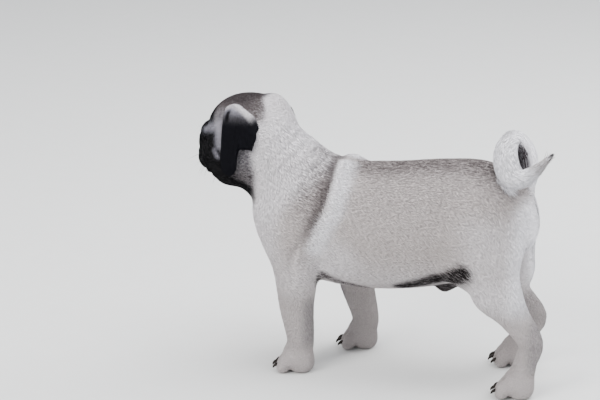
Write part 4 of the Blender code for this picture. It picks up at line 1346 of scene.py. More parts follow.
class Scatter:
    """Random places on a triangle mesh, as many as a density asks for."""

    def __init__(self, vertices: Points, triangles: np.ndarray, density: np.ndarray, seed: int) -> None:
        """Draws the places.

        Args:
            vertices: the mesh's places.
            triangles: rows of three vertex numbers.
            density: places wanted for each square millimetre, one value a triangle.
            seed: start of the random draw.
        """
        self.rng = np.random.default_rng(seed)
        a, b, c = (vertices[triangles[:, n]] for n in range(3))
        area = np.linalg.norm(np.cross(b - a, c - a), axis=1) / 2 * 1e6
        counts = np.floor(area * density + self.rng.random(len(area))).astype(int)
        self.corners = triangles[np.repeat(np.arange(len(area)), counts)]
        first, second = self.rng.random((2, len(self.corners)))
        fold = first + second > 1
        first, second = np.where(fold, 1 - first, first), np.where(fold, 1 - second, second)
        self.shares = np.column_stack([1 - first - second, first, second])

    def read(self, values: np.ndarray) -> np.ndarray:
        """Vertex values at the drawn places.

        Args:
            values: a row for each vertex.

        Returns:
            A row for each drawn place.
        """
        if values.ndim == 1:
            return (values[self.corners] * self.shares).sum(axis=1)
        return (values[self.corners] * self.shares[:, :, None]).sum(axis=1)


@dataclass(frozen=True)
class TuftShape:
    """Proportions of one tuft against its length and width."""

    sink: float = 0.001  # depth of the root under the skin
    ring: float = 0.42  # where it is widest
    arch: float = 0.8  # height of the middle against the tip's
    thickness: float = 0.14
    sway: float = 0.12
    spread: float = 0.3  # how far the lengths differ
    give: float = 0.008  # how far a tuft may bend to follow the skin
    patch: float = 0.0014
    faces: tuple = ((0, 2, 1), (0, 1, 3), (0, 3, 2), (4, 1, 2), (4, 3, 1), (4, 2, 3))
    flat: tuple = ((0.0, -1.0), (-0.7, 0.0), (0.7, 0.0), (0.0, 0.2), (0.0, 1.0))


@dataclass
class Roots:
    """Where tufts stand, with all that shapes them, one row each."""

    places: Points
    normals: np.ndarray
    ways: np.ndarray
    sizes: np.ndarray
    colours: np.ndarray

    def taken(self, chosen: np.ndarray) -> "Roots":
        """Only the chosen rows."""
        return Roots(*(getattr(self, name)[chosen] for name in self.__dataclass_fields__))


class Coat:
    """Tufts of fur: thin closed blades that lie along the skin."""

    limit: int = 27_000  # tufts in one piece

    def __init__(
        self, material: bpy.types.Material, skin: Field | None = None, shape: TuftShape = TuftShape()
    ) -> None:
        """Keeps the finish, the skin that the tufts follow and their proportions."""
        self.material, self.skin, self.shape = material, skin, shape

    def over(self, points: Points, normals: np.ndarray, rise: np.ndarray) -> Points:
        """Points moved along their normals until they stand rise above the skin."""
        away = 0.0 if self.skin is None else self.skin(points)[:, None]
        return points + normals * np.clip(rise - away, -self.shape.give, self.shape.give)

    def blades(self, roots: Roots, rng: np.random.Generator) -> tuple[Points, np.ndarray]:
        """Vertices and faces of every tuft.

        Args:
            roots: where the tufts stand and how they lie.
            rng: source of the random shares.

        Returns:
            Five vertices and six triangles for each tuft.
        """
        shape, count = self.shape, len(roots.places)
        turn = rng.normal(0.0, shape.sway, count)[:, None]
        side = np.cross(roots.normals, roots.ways)
        way = roots.ways * np.cos(turn) + side * np.sin(turn)
        side = np.cross(roots.normals, way)
        length = roots.sizes[:, :1] * (1 + shape.spread * rng.uniform(-1, 1, (count, 1)))
        half = roots.sizes[:, 1:2] / 2 * rng.uniform(0.8, 1.2, (count, 1))
        lift = rng.uniform(0.5, 1.3, (count, 1))
        high = roots.sizes[:, 3:4] * lift
        middle = self.over(roots.places + way * length * shape.ring, roots.normals, high * shape.arch)
        corners = [
            roots.places - roots.normals * shape.sink,
            middle - side * half,
            middle + side * half,
            middle + roots.normals * half * 2 * shape.thickness,
            self.over(roots.places + way * length, roots.normals, high),
        ]
        vertices = np.stack(corners, axis=1).reshape(-1, 3)
        faces = np.array(shape.faces)[None] + len(corners) * np.arange(count)[:, None, None]
        return vertices, faces.reshape(-1, 3)

    def charts(self, roots: Roots) -> np.ndarray:
        """Each root's place on the six sides of a box round the piece, laid out side by side.

        Args:
            roots: where the tufts stand.

        Returns:
            A place on the unit square for each root.
        """
        low, high = roots.places.min(axis=0), roots.places.max(axis=0)
        spot = (roots.places - low) / np.maximum(high - low, 1e-6)
        axis = np.argmax(np.abs(roots.normals), axis=1)
        rows = np.arange(len(axis))
        facing = (roots.normals[rows, axis] > 0).astype(int)
        across = np.where(axis == 0, spot[:, 1], spot[:, 0])
        up = np.where(axis == 2, spot[:, 1], spot[:, 2])
        return np.column_stack([(axis + 0.03 + 0.94 * across) / 3, (facing + 0.03 + 0.94 * up) / 2])

    def grow(self, name: str, roots: Roots, slot: Slot, seed: int, *nodes: str) -> None:
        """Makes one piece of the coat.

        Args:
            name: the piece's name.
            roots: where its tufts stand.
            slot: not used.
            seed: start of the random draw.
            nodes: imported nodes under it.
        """
        rng = np.random.default_rng(seed)
        if len(roots.places) > self.limit:
            chosen = np.sort(rng.permutation(len(roots.places))[: self.limit])
            roots = roots.taken(chosen)
        vertices, faces = self.blades(roots, rng)
        vertices[:, 2] = np.maximum(vertices[:, 2], SOLE_LEVEL / 3)
        mesh = make_mesh(name, vertices, faces)
        corners = len(self.shape.flat)
        shade = rng.uniform(0.93, 1.06, (len(roots.places), 1, 1))
        # each tuft is darker at its root, painted shade under the coat, and a touch lighter at its tip
        root_shade = np.array((0.86, 1.0, 1.0, 1.0, 1.04))[None, :, None]
        paint(mesh, np.clip(roots.colours[:, None, :] * shade * root_shade, 0, 1).reshape(-1, 3))
        spots = self.charts(roots)[:, None, :] + np.array(self.shape.flat)[None] * self.shape.patch
        layer = mesh.uv_layers.new(name="OFBake")
        flat = spots.reshape(-1, 2)[faces.ravel() % corners + faces.ravel() // corners * corners]
        layer.uv.foreach_set("vector", flat.astype(np.float32).ravel())
        stand(mesh, self.material, slot, *nodes)


@dataclass(frozen=True)
class SkinSize:
    """Where the skin is meshed and how finely."""

    net: NetSize = NetSize((-0.262, -0.1, -0.006), (0.238, 0.1, 0.345), 0.0026)
    fine_lids: float = 0.005  # finer within this much of the lids


class Skin:
    """One skin over the whole animal, and the fur that grows on it."""

    nodes = (
        "head", "neck", "torso", "tail_root", "tail_curl", "tail_tip",
        *(f"{part}_{side}" for part in ("foreleg", "forepaw", "thigh", "hindleg", "hindpaw")
          for side in ("left", "right")),
    )

    def __init__(self, rule: CoatRule, markings: Markings, size: SkinSize = SkinSize()) -> None:
        """Keeps the rules, and meshes the skin.

        Args:
            rule: tuft sizes, skin depth and lie.
            markings: the coat's colours.
            size: the skin's cell sizes.
        """
        self.rule, self.markings, self.size = rule, markings, size
        self.vertices, self.triangles = self.mesh_skin()
        self.normals = corner_normals(self.vertices, self.triangles)

    def mesh_skin(self) -> tuple[Points, np.ndarray]:
        """Vertices and triangles of the skin, finer round the eyes.

        Returns:
            The vertices, and a row of three numbers for each triangle.
        """
        vertices, quads = SurfaceNet(self.rule.skin, self.size.net).build()
        work = bmesh.new()
        for place in vertices:
            work.verts.new(place)
        work.verts.ensure_lookup_table()
        for quad in quads:
            work.faces.new([work.verts[n] for n in quad])
        lids = REGIONS.eyes(np.array([v.co for v in work.verts]), self.size.fine_lids) > 0.5
        work.verts.index_update()
        edges = [e for e in work.edges if lids[e.verts[0].index] and lids[e.verts[1].index]]
        bmesh.ops.subdivide_edges(work, edges=edges, cuts=1, use_grid_fill=True)
        bmesh.ops.triangulate(work, faces=work.faces[:])
        work.verts.index_update()
        places = settle(self.rule.skin, np.array([v.co for v in work.verts]), rounds=3)
        triangles = np.array([[v.index for v in f.verts] for f in work.faces])
        work.free()
        return places, triangles

    def build(self, material: bpy.types.Material) -> None:
        """Makes the skin's piece.

        Args:
            material: the skin's finish.
        """
        mesh = make_mesh("skin", self.vertices, self.triangles)
        even = np.full(len(self.vertices), 0.5)
        paint(mesh, self.markings.colour(self.vertices, self.normals, even))
        stand(mesh, material, Slot.FAWN, *self.nodes)

    def roots(self, seed: int) -> Roots:
        """Draws where the tufts stand.

        Args:
            seed: number that the random draws start from.

        Returns:
            The tufts' roots, with colour, size and lie.
        """
        middles = self.vertices[self.triangles].mean(axis=1)
        facing = self.normals[self.triangles].mean(axis=1)
        sizes = self.rule.sizes(middles, facing)
        bare = np.maximum(REGIONS.eyes(middles) * 1.6, REGIONS.nose(middles) * 1.3)
        bare = np.maximum(bare, (middles[:, 2] < 0.004) & (facing[:, 2] < -0.4))
        spots = Scatter(self.vertices, self.triangles, sizes[:, 2] * np.clip(1 - bare, 0, 1), seed)
        places, normals = spots.read(self.vertices), unit(spots.read(self.normals))
        sizes = self.rule.sizes(places, normals)
        colours = self.markings.colour(places, normals, spots.rng.random(len(places)))
        return Roots(places, normals, self.rule.lie(places, normals), sizes, colours)

    def grow(self, coat: Coat) -> None:
        """Makes the coat's pieces, one for each part of the body and side.

        Args:
            coat: what makes the pieces of fur.
        """
        roots = self.roots(SEED)
        places = roots.places
        local = FORM.head.from_dog(places)
        left = np.where(REGIONS.head(places) > 0.5, local[:, 1] > 0, places[:, 1] < 0)
        tail = REGIONS.tail(places) > 0.5
        head = ~tail & (REGIONS.head(places) > 0.5)
        neck = ~tail & ~head & (REGIONS.neck(places) > 0.5)
        low = ~tail & ~head & ~neck & (places[:, 2] < 0.105)
        rest = ~(tail | head | neck | low)
        fore = places[:, 0] < 0.045
        coat.grow("coat_tail", roots.taken(tail), Slot.PALE, SEED + 1, *TAIL_NODES)
        seed = SEED + 2
        for side, here in (("left", left), ("right", ~left)):
            parts = (
                ("coat_head_" + side, head & here, Slot.MASK, ("head",)),
                ("coat_neck_" + side, neck & here, Slot.PALE, ("neck",)),
                ("coat_shoulder_" + side, rest & here & fore, Slot.FAWN, ("torso",)),
                ("coat_haunch_" + side, rest & here & ~fore, Slot.FAWN, ("torso", "thigh_" + side)),
                (
                    "coat_foreleg_" + side, low & here & fore, Slot.FAWN,
                    ("foreleg_" + side, "forepaw_" + side),
                ),
                (
                    "coat_hindleg_" + side, low & here & ~fore, Slot.FAWN,
                    ("hindleg_" + side, "hindpaw_" + side),
                ),
            )
            for name, chosen, slot, nodes in parts:
                coat.grow(name, roots.taken(chosen), slot, seed, *nodes)
                seed += 1


@dataclass(frozen=True)
class EarSize:
    """The ear's outline from the side, forward and up in the head's frame, and its thickness."""

    root: tuple = (
        (-0.001, 0.0445), (-0.01, 0.0482), (-0.026, 0.044), (-0.042, 0.035), (-0.0495, 0.024)
    )
    hem: tuple = ((-0.0104, -0.029), (-0.017, -0.0345), (-0.027, -0.028), (-0.0335, -0.013),
                  (-0.036, -0.0015), (-0.044, 0.0003), (-0.051, -0.001))
    front: tuple = ((-0.001, 0.0445), (-0.007, 0.039), (-0.011, 0.022), (-0.0125, 0.004),
                    (-0.011, -0.014), (-0.0104, -0.029))
    rear: tuple = ((-0.0495, 0.024), (-0.0525, 0.011), (-0.051, -0.001))
    across: int = 54
    down: int = 48
    outside: float = 0.0062
    inside: float = 0.0034
    sunk: float = -0.003
    pivot: float = -0.011
    tuck: float = 0.64  # the right ear is drawn in, its breadth against the left's
    prick: float = 0.007  # and brought forward
    rim: float = 0.0011  # how much the flap thins to its edges
    lobe: float = 0.0016  # how far the rear lobe stands out
    ripple: float = 0.0006
    tucked: float = 0.0034  # how far the rear edge lies in
    fold: float = 0.0024  # how far the root stands out
    length: float = 0.0032
    width: float = 0.0007
    density: float = 2.0
    rise: float = 0.0004


class Ear:
    """A folded button ear: a thin flap that hangs beside the cheek."""

    def __init__(self, side: float, size: EarSize = EarSize()) -> None:
        """Lays out the flap; side is +1 for the left ear and -1 for the right one.

        Args:
            side: +1 for the left ear and -1 for the right one.
            size: the ear's sizes.
        """
        self.side, self.size = side, size
        self.name = "left" if side > 0 else "right"
        self.u = np.tile(np.linspace(0, 1, size.across), size.down)
        self.v = np.repeat(np.linspace(0, 1, size.down), size.across)
        self.flat = self.outline()
        self.drop = self.curve(size.root, self.u)[:, 1] - self.flat[:, 1]

    def curve(self, stations: tuple, shares: np.ndarray) -> np.ndarray:
        """Points at the given shares of a smooth curve's length.

        Args:
            stations: places that the curve goes through.
            shares: shares of its length, 0 to 1.

        Returns:
            A row for each share.
        """
        path = smooth_path([(*s, 0.0, 0.0) for s in stations], 8)[:, :2]
        marks = np.concatenate([[0.0], np.cumsum(np.linalg.norm(np.diff(path, axis=0), axis=1))])
        return np.column_stack([np.interp(shares * marks[-1], marks, path[:, n]) for n in range(2)])

    def outline(self) -> np.ndarray:
        """The flap seen from the side, a grid of (forward, up).

        Returns:
            A grid of rows and columns of two measures.
        """
        size, u, v = self.size, self.u[:, None], self.v[:, None]
        root, hem = self.curve(size.root, self.u), self.curve(size.hem, self.u)
        front, rear = self.curve(size.front, self.v), self.curve(size.rear, self.v)
        top = (1 - u) * np.array(size.root[0]) + u * np.array(size.root[-1])
        foot = (1 - u) * np.array(size.hem[0]) + u * np.array(size.hem[-1])
        flat = (1 - v) * root + v * hem + (1 - u) * front + u * rear - (1 - v) * top - v * foot
        if self.side < 0:
            flat[:, 0] = size.pivot + (flat[:, 0] - size.pivot) * size.tuck + size.prick
        return flat

    def beside(self, flat: np.ndarray, level: np.ndarray) -> Points:
        """Points beside the head, out to where the flesh is level away.

        Args:
            flat: rows of forward and up.
            level: how far out the flesh has to be, for each row.

        Returns:
            A row of place for each row.
        """
        near, far = np.full(len(flat), 0.012), np.full(len(flat), 0.09)
        for _ in range(18):
            middle = (near + far) / 2
            local = np.column_stack([flat[:, 0], self.side * middle, flat[:, 1]])
            away = FORM.flesh(FORM.head.to_dog(local)) > level
            near, far = np.where(away, near, middle), np.where(away, middle, far)
        return FORM.head.to_dog(np.column_stack([flat[:, 0], self.side * far, flat[:, 1]]))

    def shell(self) -> tuple[Points, np.ndarray]:
        """Vertices and quads of the closed flap, outside first.

        Returns:
            The vertices, and a row of four numbers for each quad.
        """
        size, flat = self.size, self.flat
        hang = np.clip(self.v / 0.3, 0, 1)
        step = size.lobe * np.clip((-0.031 - flat[:, 0]) / 0.003, 0.0, 1.0) * hang
        sink = np.clip(1 - self.v / 0.12, 0.0, 1.0)
        edge = np.minimum.reduce([self.u * 1.4, (1 - self.u) * 1.4, 1 - self.v])
        thin = size.rim * (1 - rise_between(edge, 0.0, 0.1))
        bulge = size.ripple * np.sin(self.u * 9.0) * np.sin(self.v * 5.0) * hang
        laid = size.tucked * rise_between(self.u, 0.78, 1.0) * (1 - rise_between(self.v, 0.35, 0.8))
        outside = size.outside * (1 - sink) + size.fold * sink + step + bulge - thin - laid
        inside = size.inside * (1 - sink) + size.sunk * sink + step + thin - laid
        outer, inner = self.beside(flat, outside), self.beside(flat, inside)
        count = len(flat)
        at = np.arange(count).reshape(size.down, size.across)
        quads = np.stack([at[:-1, :-1], at[:-1, 1:], at[1:, 1:], at[1:, :-1]], axis=-1).reshape(-1, 4)
        ring = np.concatenate([at[0], at[1:, -1], at[-1, -2::-1], at[-2:0:-1, 0]])
        after = np.roll(ring, -1)
        rim = np.column_stack([ring, after, after + count, ring + count])
        faces = np.concatenate([quads, quads[:, ::-1] + count, rim[:, ::-1]])
        return np.vstack([outer, inner]), faces if self.side > 0 else faces[:, ::-1]

    def colour(self, u: np.ndarray, drop: np.ndarray, height: np.ndarray, grain: np.ndarray) -> np.ndarray:
        """Black, with a pale arch along the root and painted shade in the opening at its front.

        Args:
            u: shares of the breadth from the front edge.
            drop: distances below the root.
            height: heights in the head's frame.
            grain: a random share for each place.

        Returns:
            Linear colours, one row each.
        """
        fleck = (grain - 0.5) * 0.8
        level = height + 0.004 * (grain - 0.5)
        light = rise_between(level, 0.035, 0.051) * (1 - rise_between(u, 0.45, 0.85))
        rim = (1 - rise_between(drop, 0.0005, 0.004)) * (1 - rise_between(u, 0.6, 0.9))
        # painted shade in the ear's opening at the front of the root
        opening_shade = (1 - rise_between(np.abs(u - 0.15), 0.015, 0.085)) * rise_between(drop, 0.002, 0.007)
        return mixed(MARKINGS.black * 2.5, (
            (MARKINGS.slate_and_shade, rise_between(level, 0.027, 0.043) * (0.9 + fleck)),
            (MARKINGS.grey, light * (0.8 + fleck)),
            (MARKINGS.pale, rim * (0.75 + fleck)),
            (MARKINGS.black, opening_shade * (1 - rise_between(drop, 0.012, 0.021)) * (0.95 + fleck)),
        ), len(u))

    def build(self, leather: bpy.types.Material, coat: Coat) -> None:
        """Makes the flap and its fur.

        Args:
            leather: the flap's finish.
            coat: what makes its fur.
        """
        vertices, quads = self.shell()
        triangles = np.concatenate([quads[:, (0, 1, 2)], quads[:, (0, 2, 3)]])
        u, v, drop, height = (np.tile(row, 2) for row in (self.u, self.v, self.drop, self.flat[:, 1]))
        mesh = make_mesh("ear_flap_" + self.name, vertices, quads)
        paint(mesh, self.colour(u, drop, height, np.full(len(u), 0.5)))
        node = "ear_" + self.name
        stand(mesh, leather, Slot.MASK, node)
        normals = corner_normals(vertices, triangles)
        outside = (triangles < len(self.u)).sum(axis=1) >= 2
        seed = SEED + 40 + int(self.side)
        spots = Scatter(vertices, triangles, self.size.density * outside, seed)
        places, facing = spots.read(vertices), unit(spots.read(normals))
        way = FORM.head.axes @ np.array((0.1, 0.0, -1.0))
        ways = unit(way - facing * (facing @ way)[:, None])
        sizes = np.tile((self.size.length, self.size.width, 0.0, self.size.rise), (len(places), 1))
        sizes[:, 0] *= 1 - 0.5 * rise_between(spots.read(v), 0.75, 1.0)
        laid = [spots.read(row) for row in (u, drop, height)]
        colours = self.colour(*laid, spots.rng.random(len(places)))
        coat.grow("coat_" + node, Roots(places, facing, ways, sizes, colours), Slot.MASK, seed, node)


class Eye:
    """A round dark eye whose rings run round its gaze."""

    segments: int = 56
    rings: int = 44

    def __init__(self, side: float) -> None:
        """Keeps the side: +1 for the left eye, -1 for the right one."""
        self.side = side
        self.name = "left" if side > 0 else "right"

    def build(self, material: bpy.types.Material) -> None:
        """Makes the eyeball; its angle from the gaze is kept for the material.

        Args:
            material: the eye's finish.
        """
        middle, axes = FORM.head.eye(self.side)
        angles = math.pi * np.linspace(0, 1, self.rings + 1)[1:-1]
        turns = 2 * math.pi * np.arange(self.segments) / self.segments
        rows = [(1.0, 0.0, 0.0)]
        for angle in angles:
            away, wide = math.cos(angle), math.sin(angle)
            rows += [(away, wide * math.cos(t), wide * math.sin(t)) for t in turns]
        rows.append((-1.0, 0.0, 0.0))
        local = np.array(rows) * FORM.head.eye_radius @ axes.T + middle
        at = 1 + np.arange(len(angles) * self.segments).reshape(len(angles), self.segments)
        after = np.roll(at, -1, axis=1)
        last = len(rows) - 1
        faces = [tuple(row) for row in ring_quads(at)]
        faces += [(0, a, b) for a, b in zip(at[0], after[0])]
        faces += [(last, b, a) for a, b in zip(at[-1], after[-1])]
        mesh = bpy.data.meshes.new("eyeball_" + self.name)
        places = FORM.head.to_dog(local) + SHIFT
        mesh.from_pydata(places.tolist(), [], [tuple(map(int, f)) for f in faces])
        mesh.shade_smooth()
        layer = mesh.attributes.new(name=GAZE_NAME, type="FLOAT", domain="POINT")
        gaze = np.concatenate([[0.0], np.repeat(angles, self.segments), [math.pi]])
        layer.data.foreach_set("value", (gaze / math.pi).astype(np.float32))
        stand(mesh, material, Slot.EYE, "eye_" + self.name)


class Nose:
    """The nose leather with its nostrils."""

    net: NetSize = NetSize((0.05, -0.019, -0.024), (0.078, 0.019, 0.006), 0.0007, margin=0.009)
    sunk: float = 0.004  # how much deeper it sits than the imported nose

    def shape(self, points: Points) -> np.ndarray:
        """Field of the nose, points in the head's frame.

        Args:
            points: places in the head's frame.

        Returns:
            One value a point, less than 0 inside.
        """
        x, y, z = np.array(FORM.head.nose_place) - (self.sunk, 0.0, 0.0)
        solid = ball(points, (x, y, z), (0.0066, 0.0124, 0.0082))
        for side in SIDES:
            wing = ball(points, (x - 0.001, 0.0076 * side, z - 0.001), (0.0062, 0.0056, 0.006))
            solid = fuse(solid, wing, 0.003)
        for side in SIDES:
            nostril = [(x + 0.0062, 0.005 * side, z + 0.0, 0.0031),
                       (x + 0.005, 0.0082 * side, z - 0.0002, 0.0026),
                       (x + 0.0018, 0.0124 * side, z - 0.002, 0.0015)]
            solid = carve(solid, sweep(points, nostril, reach=0.005), 0.001)
        groove = [(x + 0.0062, 0.0, z + 0.005, 0.0007), (x + 0.0074, 0.0, z - 0.001, 0.0009),
                  (x + 0.0058, 0.0, z - 0.008, 0.0012)]
        return carve(solid, sweep(points, groove, reach=0.004), 0.0016)

    def build(self, material: bpy.types.Material) -> None:
        """Makes the nose.

        Args:
            material: the leather.
        """
        vertices, quads = SurfaceNet(self.shape, self.net).build()
        placed = FORM.head.to_dog(settle(self.shape, vertices))
        stand(make_mesh("nose_leather", placed, quads), material, Slot.NOSE, "nose")


@dataclass(frozen=True)
class ClawSize:
    """Sizes of a claw."""

    length: float = 0.008
    root: float = 0.0024
    sides: int = 12
    stations: int = 9


class Claws:
    """The four dark claws of one paw."""

    def __init__(self, name: str, paw: PawForm, size: ClawSize = ClawSize()) -> None:
        """Keeps the paw and the sizes."""
        self.name, self.paw, self.size = name, paw, size

    def claw(self, number: int) -> tuple[Points, np.ndarray]:
        """Vertices and triangles of one claw, from inside its toe to its tip.

        Args:
            number: 0 for the first toe to 3.

        Returns:
            The vertices, and a row of three numbers for each triangle.
        """
        size, paw = self.size, self.paw
        tip = paw.toe(number)[-1]
        x, y = tip[0] + paw.toe_radius - 0.003, tip[1]
        path = smooth_path(
            [(x, y, 0.01, size.root), (x + 0.45 * size.length, y, 0.0094, 0.0021),
             (x + 0.85 * size.length, y, 0.0068, 0.0014), (x + size.length, y, 0.0042, 0.0004)], 3)
        turns = 2 * math.pi * np.arange(size.sides) / size.sides
        aims = unit(np.gradient(path[:, :3], axis=0))
        up = np.cross(aims, (0.0, 1.0, 0.0))
        ring = np.cos(turns)[None, :, None] * np.array((0.0, 0.8, 0.0))
        ring = ring + np.sin(turns)[None, :, None] * up[:, None]
        vertices = (path[:, None, :3] + ring * path[:, None, 3:]).reshape(-1, 3)
        at = np.arange(len(vertices)).reshape(len(path), size.sides)
        quads = ring_quads(at)
        fans = [np.column_stack([np.full(size.sides - 2, at[0, 0]), at[0, 2:], at[0, 1:-1]]),
                np.column_stack([np.full(size.sides - 2, at[-1, 0]), at[-1, 1:-1], at[-1, 2:]])]
        faces = np.concatenate([quads[:, (0, 1, 2)], quads[:, (0, 2, 3)], *[fan[:, ::-1] for fan in fans]])
        return vertices, faces

    def build(self, material: bpy.types.Material) -> None:
        """Makes the four claws as one piece.

        Args:
            material: the horn.
        """
        places, faces, start = [], [], 0
        for number in range(4):
            vertices, triangles = self.claw(number)
            places.append(self.paw.to_dog(vertices))
            faces.append(triangles + start)
            start += len(vertices)
        mesh = make_mesh("claws_" + self.name, np.vstack(places), np.vstack(faces))
        stand(mesh, material, Slot.NOSE)


class Wiring:
    """A material or a shader group's node tree, filled by short calls."""

    def __init__(self, tree: bpy.types.NodeTree) -> None:
        """Keeps the tree."""
        self.tree = tree

    def add(
        self, kind: str, label: str = "", given: dict | None = None, **values: object
    ) -> bpy.types.Node:
        """Adds a node.

        Args:
            kind: its type name.
            label: what it is for.
            given: values of its inputs by name.
            values: properties of the node by name.

        Returns:
            The node.
        """
        node = self.tree.nodes.new(kind)
        node.label = label
        for name, value in values.items():
            setattr(node, name, value)
        for name, value in (given or {}).items():
            node.inputs[name].default_value = value
        return node

    def join(self, *links: tuple) -> None:
        """Joins sockets: each link is a node, its output, another node and its input."""
        for start, output, end, entry in links:
            self.tree.links.new(start.outputs[output], end.inputs[entry])


def principled(name: str, given: dict[str, float]) -> tuple[bpy.types.Material, Wiring, bpy.types.Node]:
    """A new material.

    Args:
        name: its name.
        given: values of the shader's inputs by name.

    Returns:
        The material, its wiring and its Principled shader.
    """
    material = bpy.data.materials.new(name)
    material.use_nodes = True
    shader = material.node_tree.nodes["Principled BSDF"]
    for label, value in given.items():
        shader.inputs[label].default_value = value
    return material, Wiring(material.node_tree), shader


def new_group(name: str, inputs: dict[str, float], outputs: dict[str, str]) -> bpy.types.NodeTree:
    """An empty shader group with its sockets.

    Args:
        name: the group's name.
        inputs: number inputs and their defaults.
        outputs: outputs and their socket types.

    Returns:
        The group's tree.
    """
    tree = bpy.data.node_groups.new(name, "ShaderNodeTree")
    for label, value in inputs.items():
        socket = tree.interface.new_socket(name=label, in_out="INPUT", socket_type="NodeSocketFloat")
        socket.default_value = value
    for label, kind in outputs.items():
        tree.interface.new_socket(name=label, in_out="OUTPUT", socket_type=kind)
    return tree


def hair_grain_group() -> bpy.types.NodeTree:
    """Fine drawn-out mottling like lying hair: a shade near 1 and a height, the shade darkest where the
    height is lowest: partly hair grain, partly painted shade in the hollows.

    Returns:
        The group, with inputs for its scale and its two shades.
    """
    tree = new_group(
        "HairGrain", {"Scale": 700.0, "Darkest": 0.8, "Lightest": 1.1},
        {"Shade": "NodeSocketFloat", "Height": "NodeSocketFloat"},
    )
    wiring = Wiring(tree)
    given, result = wiring.add("NodeGroupInput"), wiring.add("NodeGroupOutput")
    place = wiring.add("ShaderNodeTexCoord")
    noise = wiring.add("ShaderNodeTexNoise", "hairs", {"Detail": 3.0, "Roughness": 0.65})
    spread = wiring.add("ShaderNodeMapRange", "shade", {"From Min": 0.3, "From Max": 0.7})
    wiring.join(
        (place, "Object", noise, "Vector"),
        (given, "Scale", noise, "Scale"),
        (noise, "Fac", spread, "Value"),
        (given, "Darkest", spread, "To Min"),
        (given, "Lightest", spread, "To Max"),
        (spread, "Result", result, "Shade"),
        (noise, "Fac", result, "Height"),
    )
    return tree


@dataclass(frozen=True)
class CoatFinish:
    """A finish that reads the coat's colours."""

    name: str
    roughness: float
    specular: float
    scale: float
    darkest: float
    lightest: float
    bump: float  # strength
    distance: float
    dark: float = 0.12  # brightness below which hairs shine less
    dull: float = 0.05  # the blackest hair's share of the shine

    def make(self, grain: bpy.types.NodeTree) -> bpy.types.Material:
        """Builds the material round the shared grain group.

        Args:
            grain: the shared grain group.

        Returns:
            The material.
        """
        material, wiring, shader = principled(self.name, {"Roughness": self.roughness})
        colour = wiring.add("ShaderNodeAttribute", "markings", attribute_name=COLOUR_NAME)
        gloss = wiring.add(
            "ShaderNodeMapRange", "dark hairs shine less",
            {"From Max": self.dark, "To Min": self.specular * self.dull, "To Max": self.specular},
        )
        hairs = wiring.add(
            "ShaderNodeGroup", "hair grain",
            {"Scale": self.scale, "Darkest": self.darkest, "Lightest": self.lightest}, node_tree=grain,
        )
        shade = wiring.add(
            "ShaderNodeMix", "shaded", {"Factor": 1.0}, data_type="RGBA", blend_type="MULTIPLY"
        )
        bump = wiring.add("ShaderNodeBump", "hairs", {"Strength": self.bump, "Distance": self.distance})
        wiring.join(
            (colour, "Fac", gloss, "Value"),
            (gloss, "Result", shader, "Specular IOR Level"),
            (colour, "Color", shade, "A"),
            (hairs, "Shade", shade, "B"),
            (shade, "Result", shader, "Base Color"),
            (hairs, "Height", bump, "Height"),
            (bump, "Normal", shader, "Normal"),
        )
        return material


@dataclass(frozen=True)
class LeatherFinish:
    """Dark pebbled leather or smooth horn."""

    name: str
    dark: Place
    light: Place
    roughness: float
    scale: float
    bump: float
    specular: float = 0.07
    grit: float = 0.0004  # height of the pebbles

    def make(self) -> bpy.types.Material:
        """Builds the material from cells, light in their raised middles and darker in the sunk grooves
        between them: painted shade.

        Returns:
            The material.
        """
        material, wiring, shader = principled(
            self.name, {"Roughness": self.roughness, "Specular IOR Level": self.specular}
        )
        place = wiring.add("ShaderNodeTexCoord")
        pebbles = wiring.add("ShaderNodeTexVoronoi", "pebbles", {"Scale": self.scale})
        ramp = wiring.add("ShaderNodeValToRGB", "shade")
        ramp.color_ramp.elements[0].color = (*self.light, 1.0)
        ramp.color_ramp.elements[1].color = (*self.dark, 1.0)
        bump = wiring.add(
            "ShaderNodeBump", "pebbles", {"Strength": self.bump, "Distance": self.grit}, invert=True
        )
        wiring.join(
            (place, "Object", pebbles, "Vector"),
            (pebbles, "Distance", ramp, "Fac"),
            (ramp, "Color", shader, "Base Color"),
            (pebbles, "Distance", bump, "Height"),
            (bump, "Normal", shader, "Normal"),
        )
        return material


@dataclass(frozen=True)
class EyeFinish:
    """A wet eye: rings of colour by the angle from the gaze, as shares of half a turn."""

    name: str = "wet_eye"
    rings: tuple = (
        (0.0, (0.004, 0.004, 0.005)),
        (0.15, (0.004, 0.004, 0.005)),
        (0.165, (0.02, 0.008, 0.004)),
        (0.31, (0.01, 0.005, 0.003)),
        (0.35, (0.006, 0.004, 0.003)),
        (0.41, (0.1, 0.08, 0.07)),
        (1.0, (0.1, 0.07, 0.06)),
    )
    roughness: float = 0.15
    specular: float = 0.02
    film: float = 0.04  # how much the wet film shines
    film_roughness: float = 0.02

    def make(self) -> bpy.types.Material:
        """Builds the material.

        Returns:
            The material.
        """
        material, wiring, shader = principled(self.name, {
            "Roughness": self.roughness, "Specular IOR Level": self.specular,
            "Coat Weight": self.film, "Coat Roughness": self.film_roughness,
        })
        angle = wiring.add("ShaderNodeAttribute", "angle from the gaze", attribute_name=GAZE_NAME)
        ramp = wiring.add("ShaderNodeValToRGB", "pupil, iris and white")
        elements = ramp.color_ramp.elements
        for number, (at, colour) in enumerate(self.rings):
            stop = elements[number] if number < 2 else elements.new(at)
            stop.position = at
            stop.color = (*colour, 1.0)
        wiring.join((angle, "Fac", ramp, "Fac"), (ramp, "Color", shader, "Base Color"))
        return material


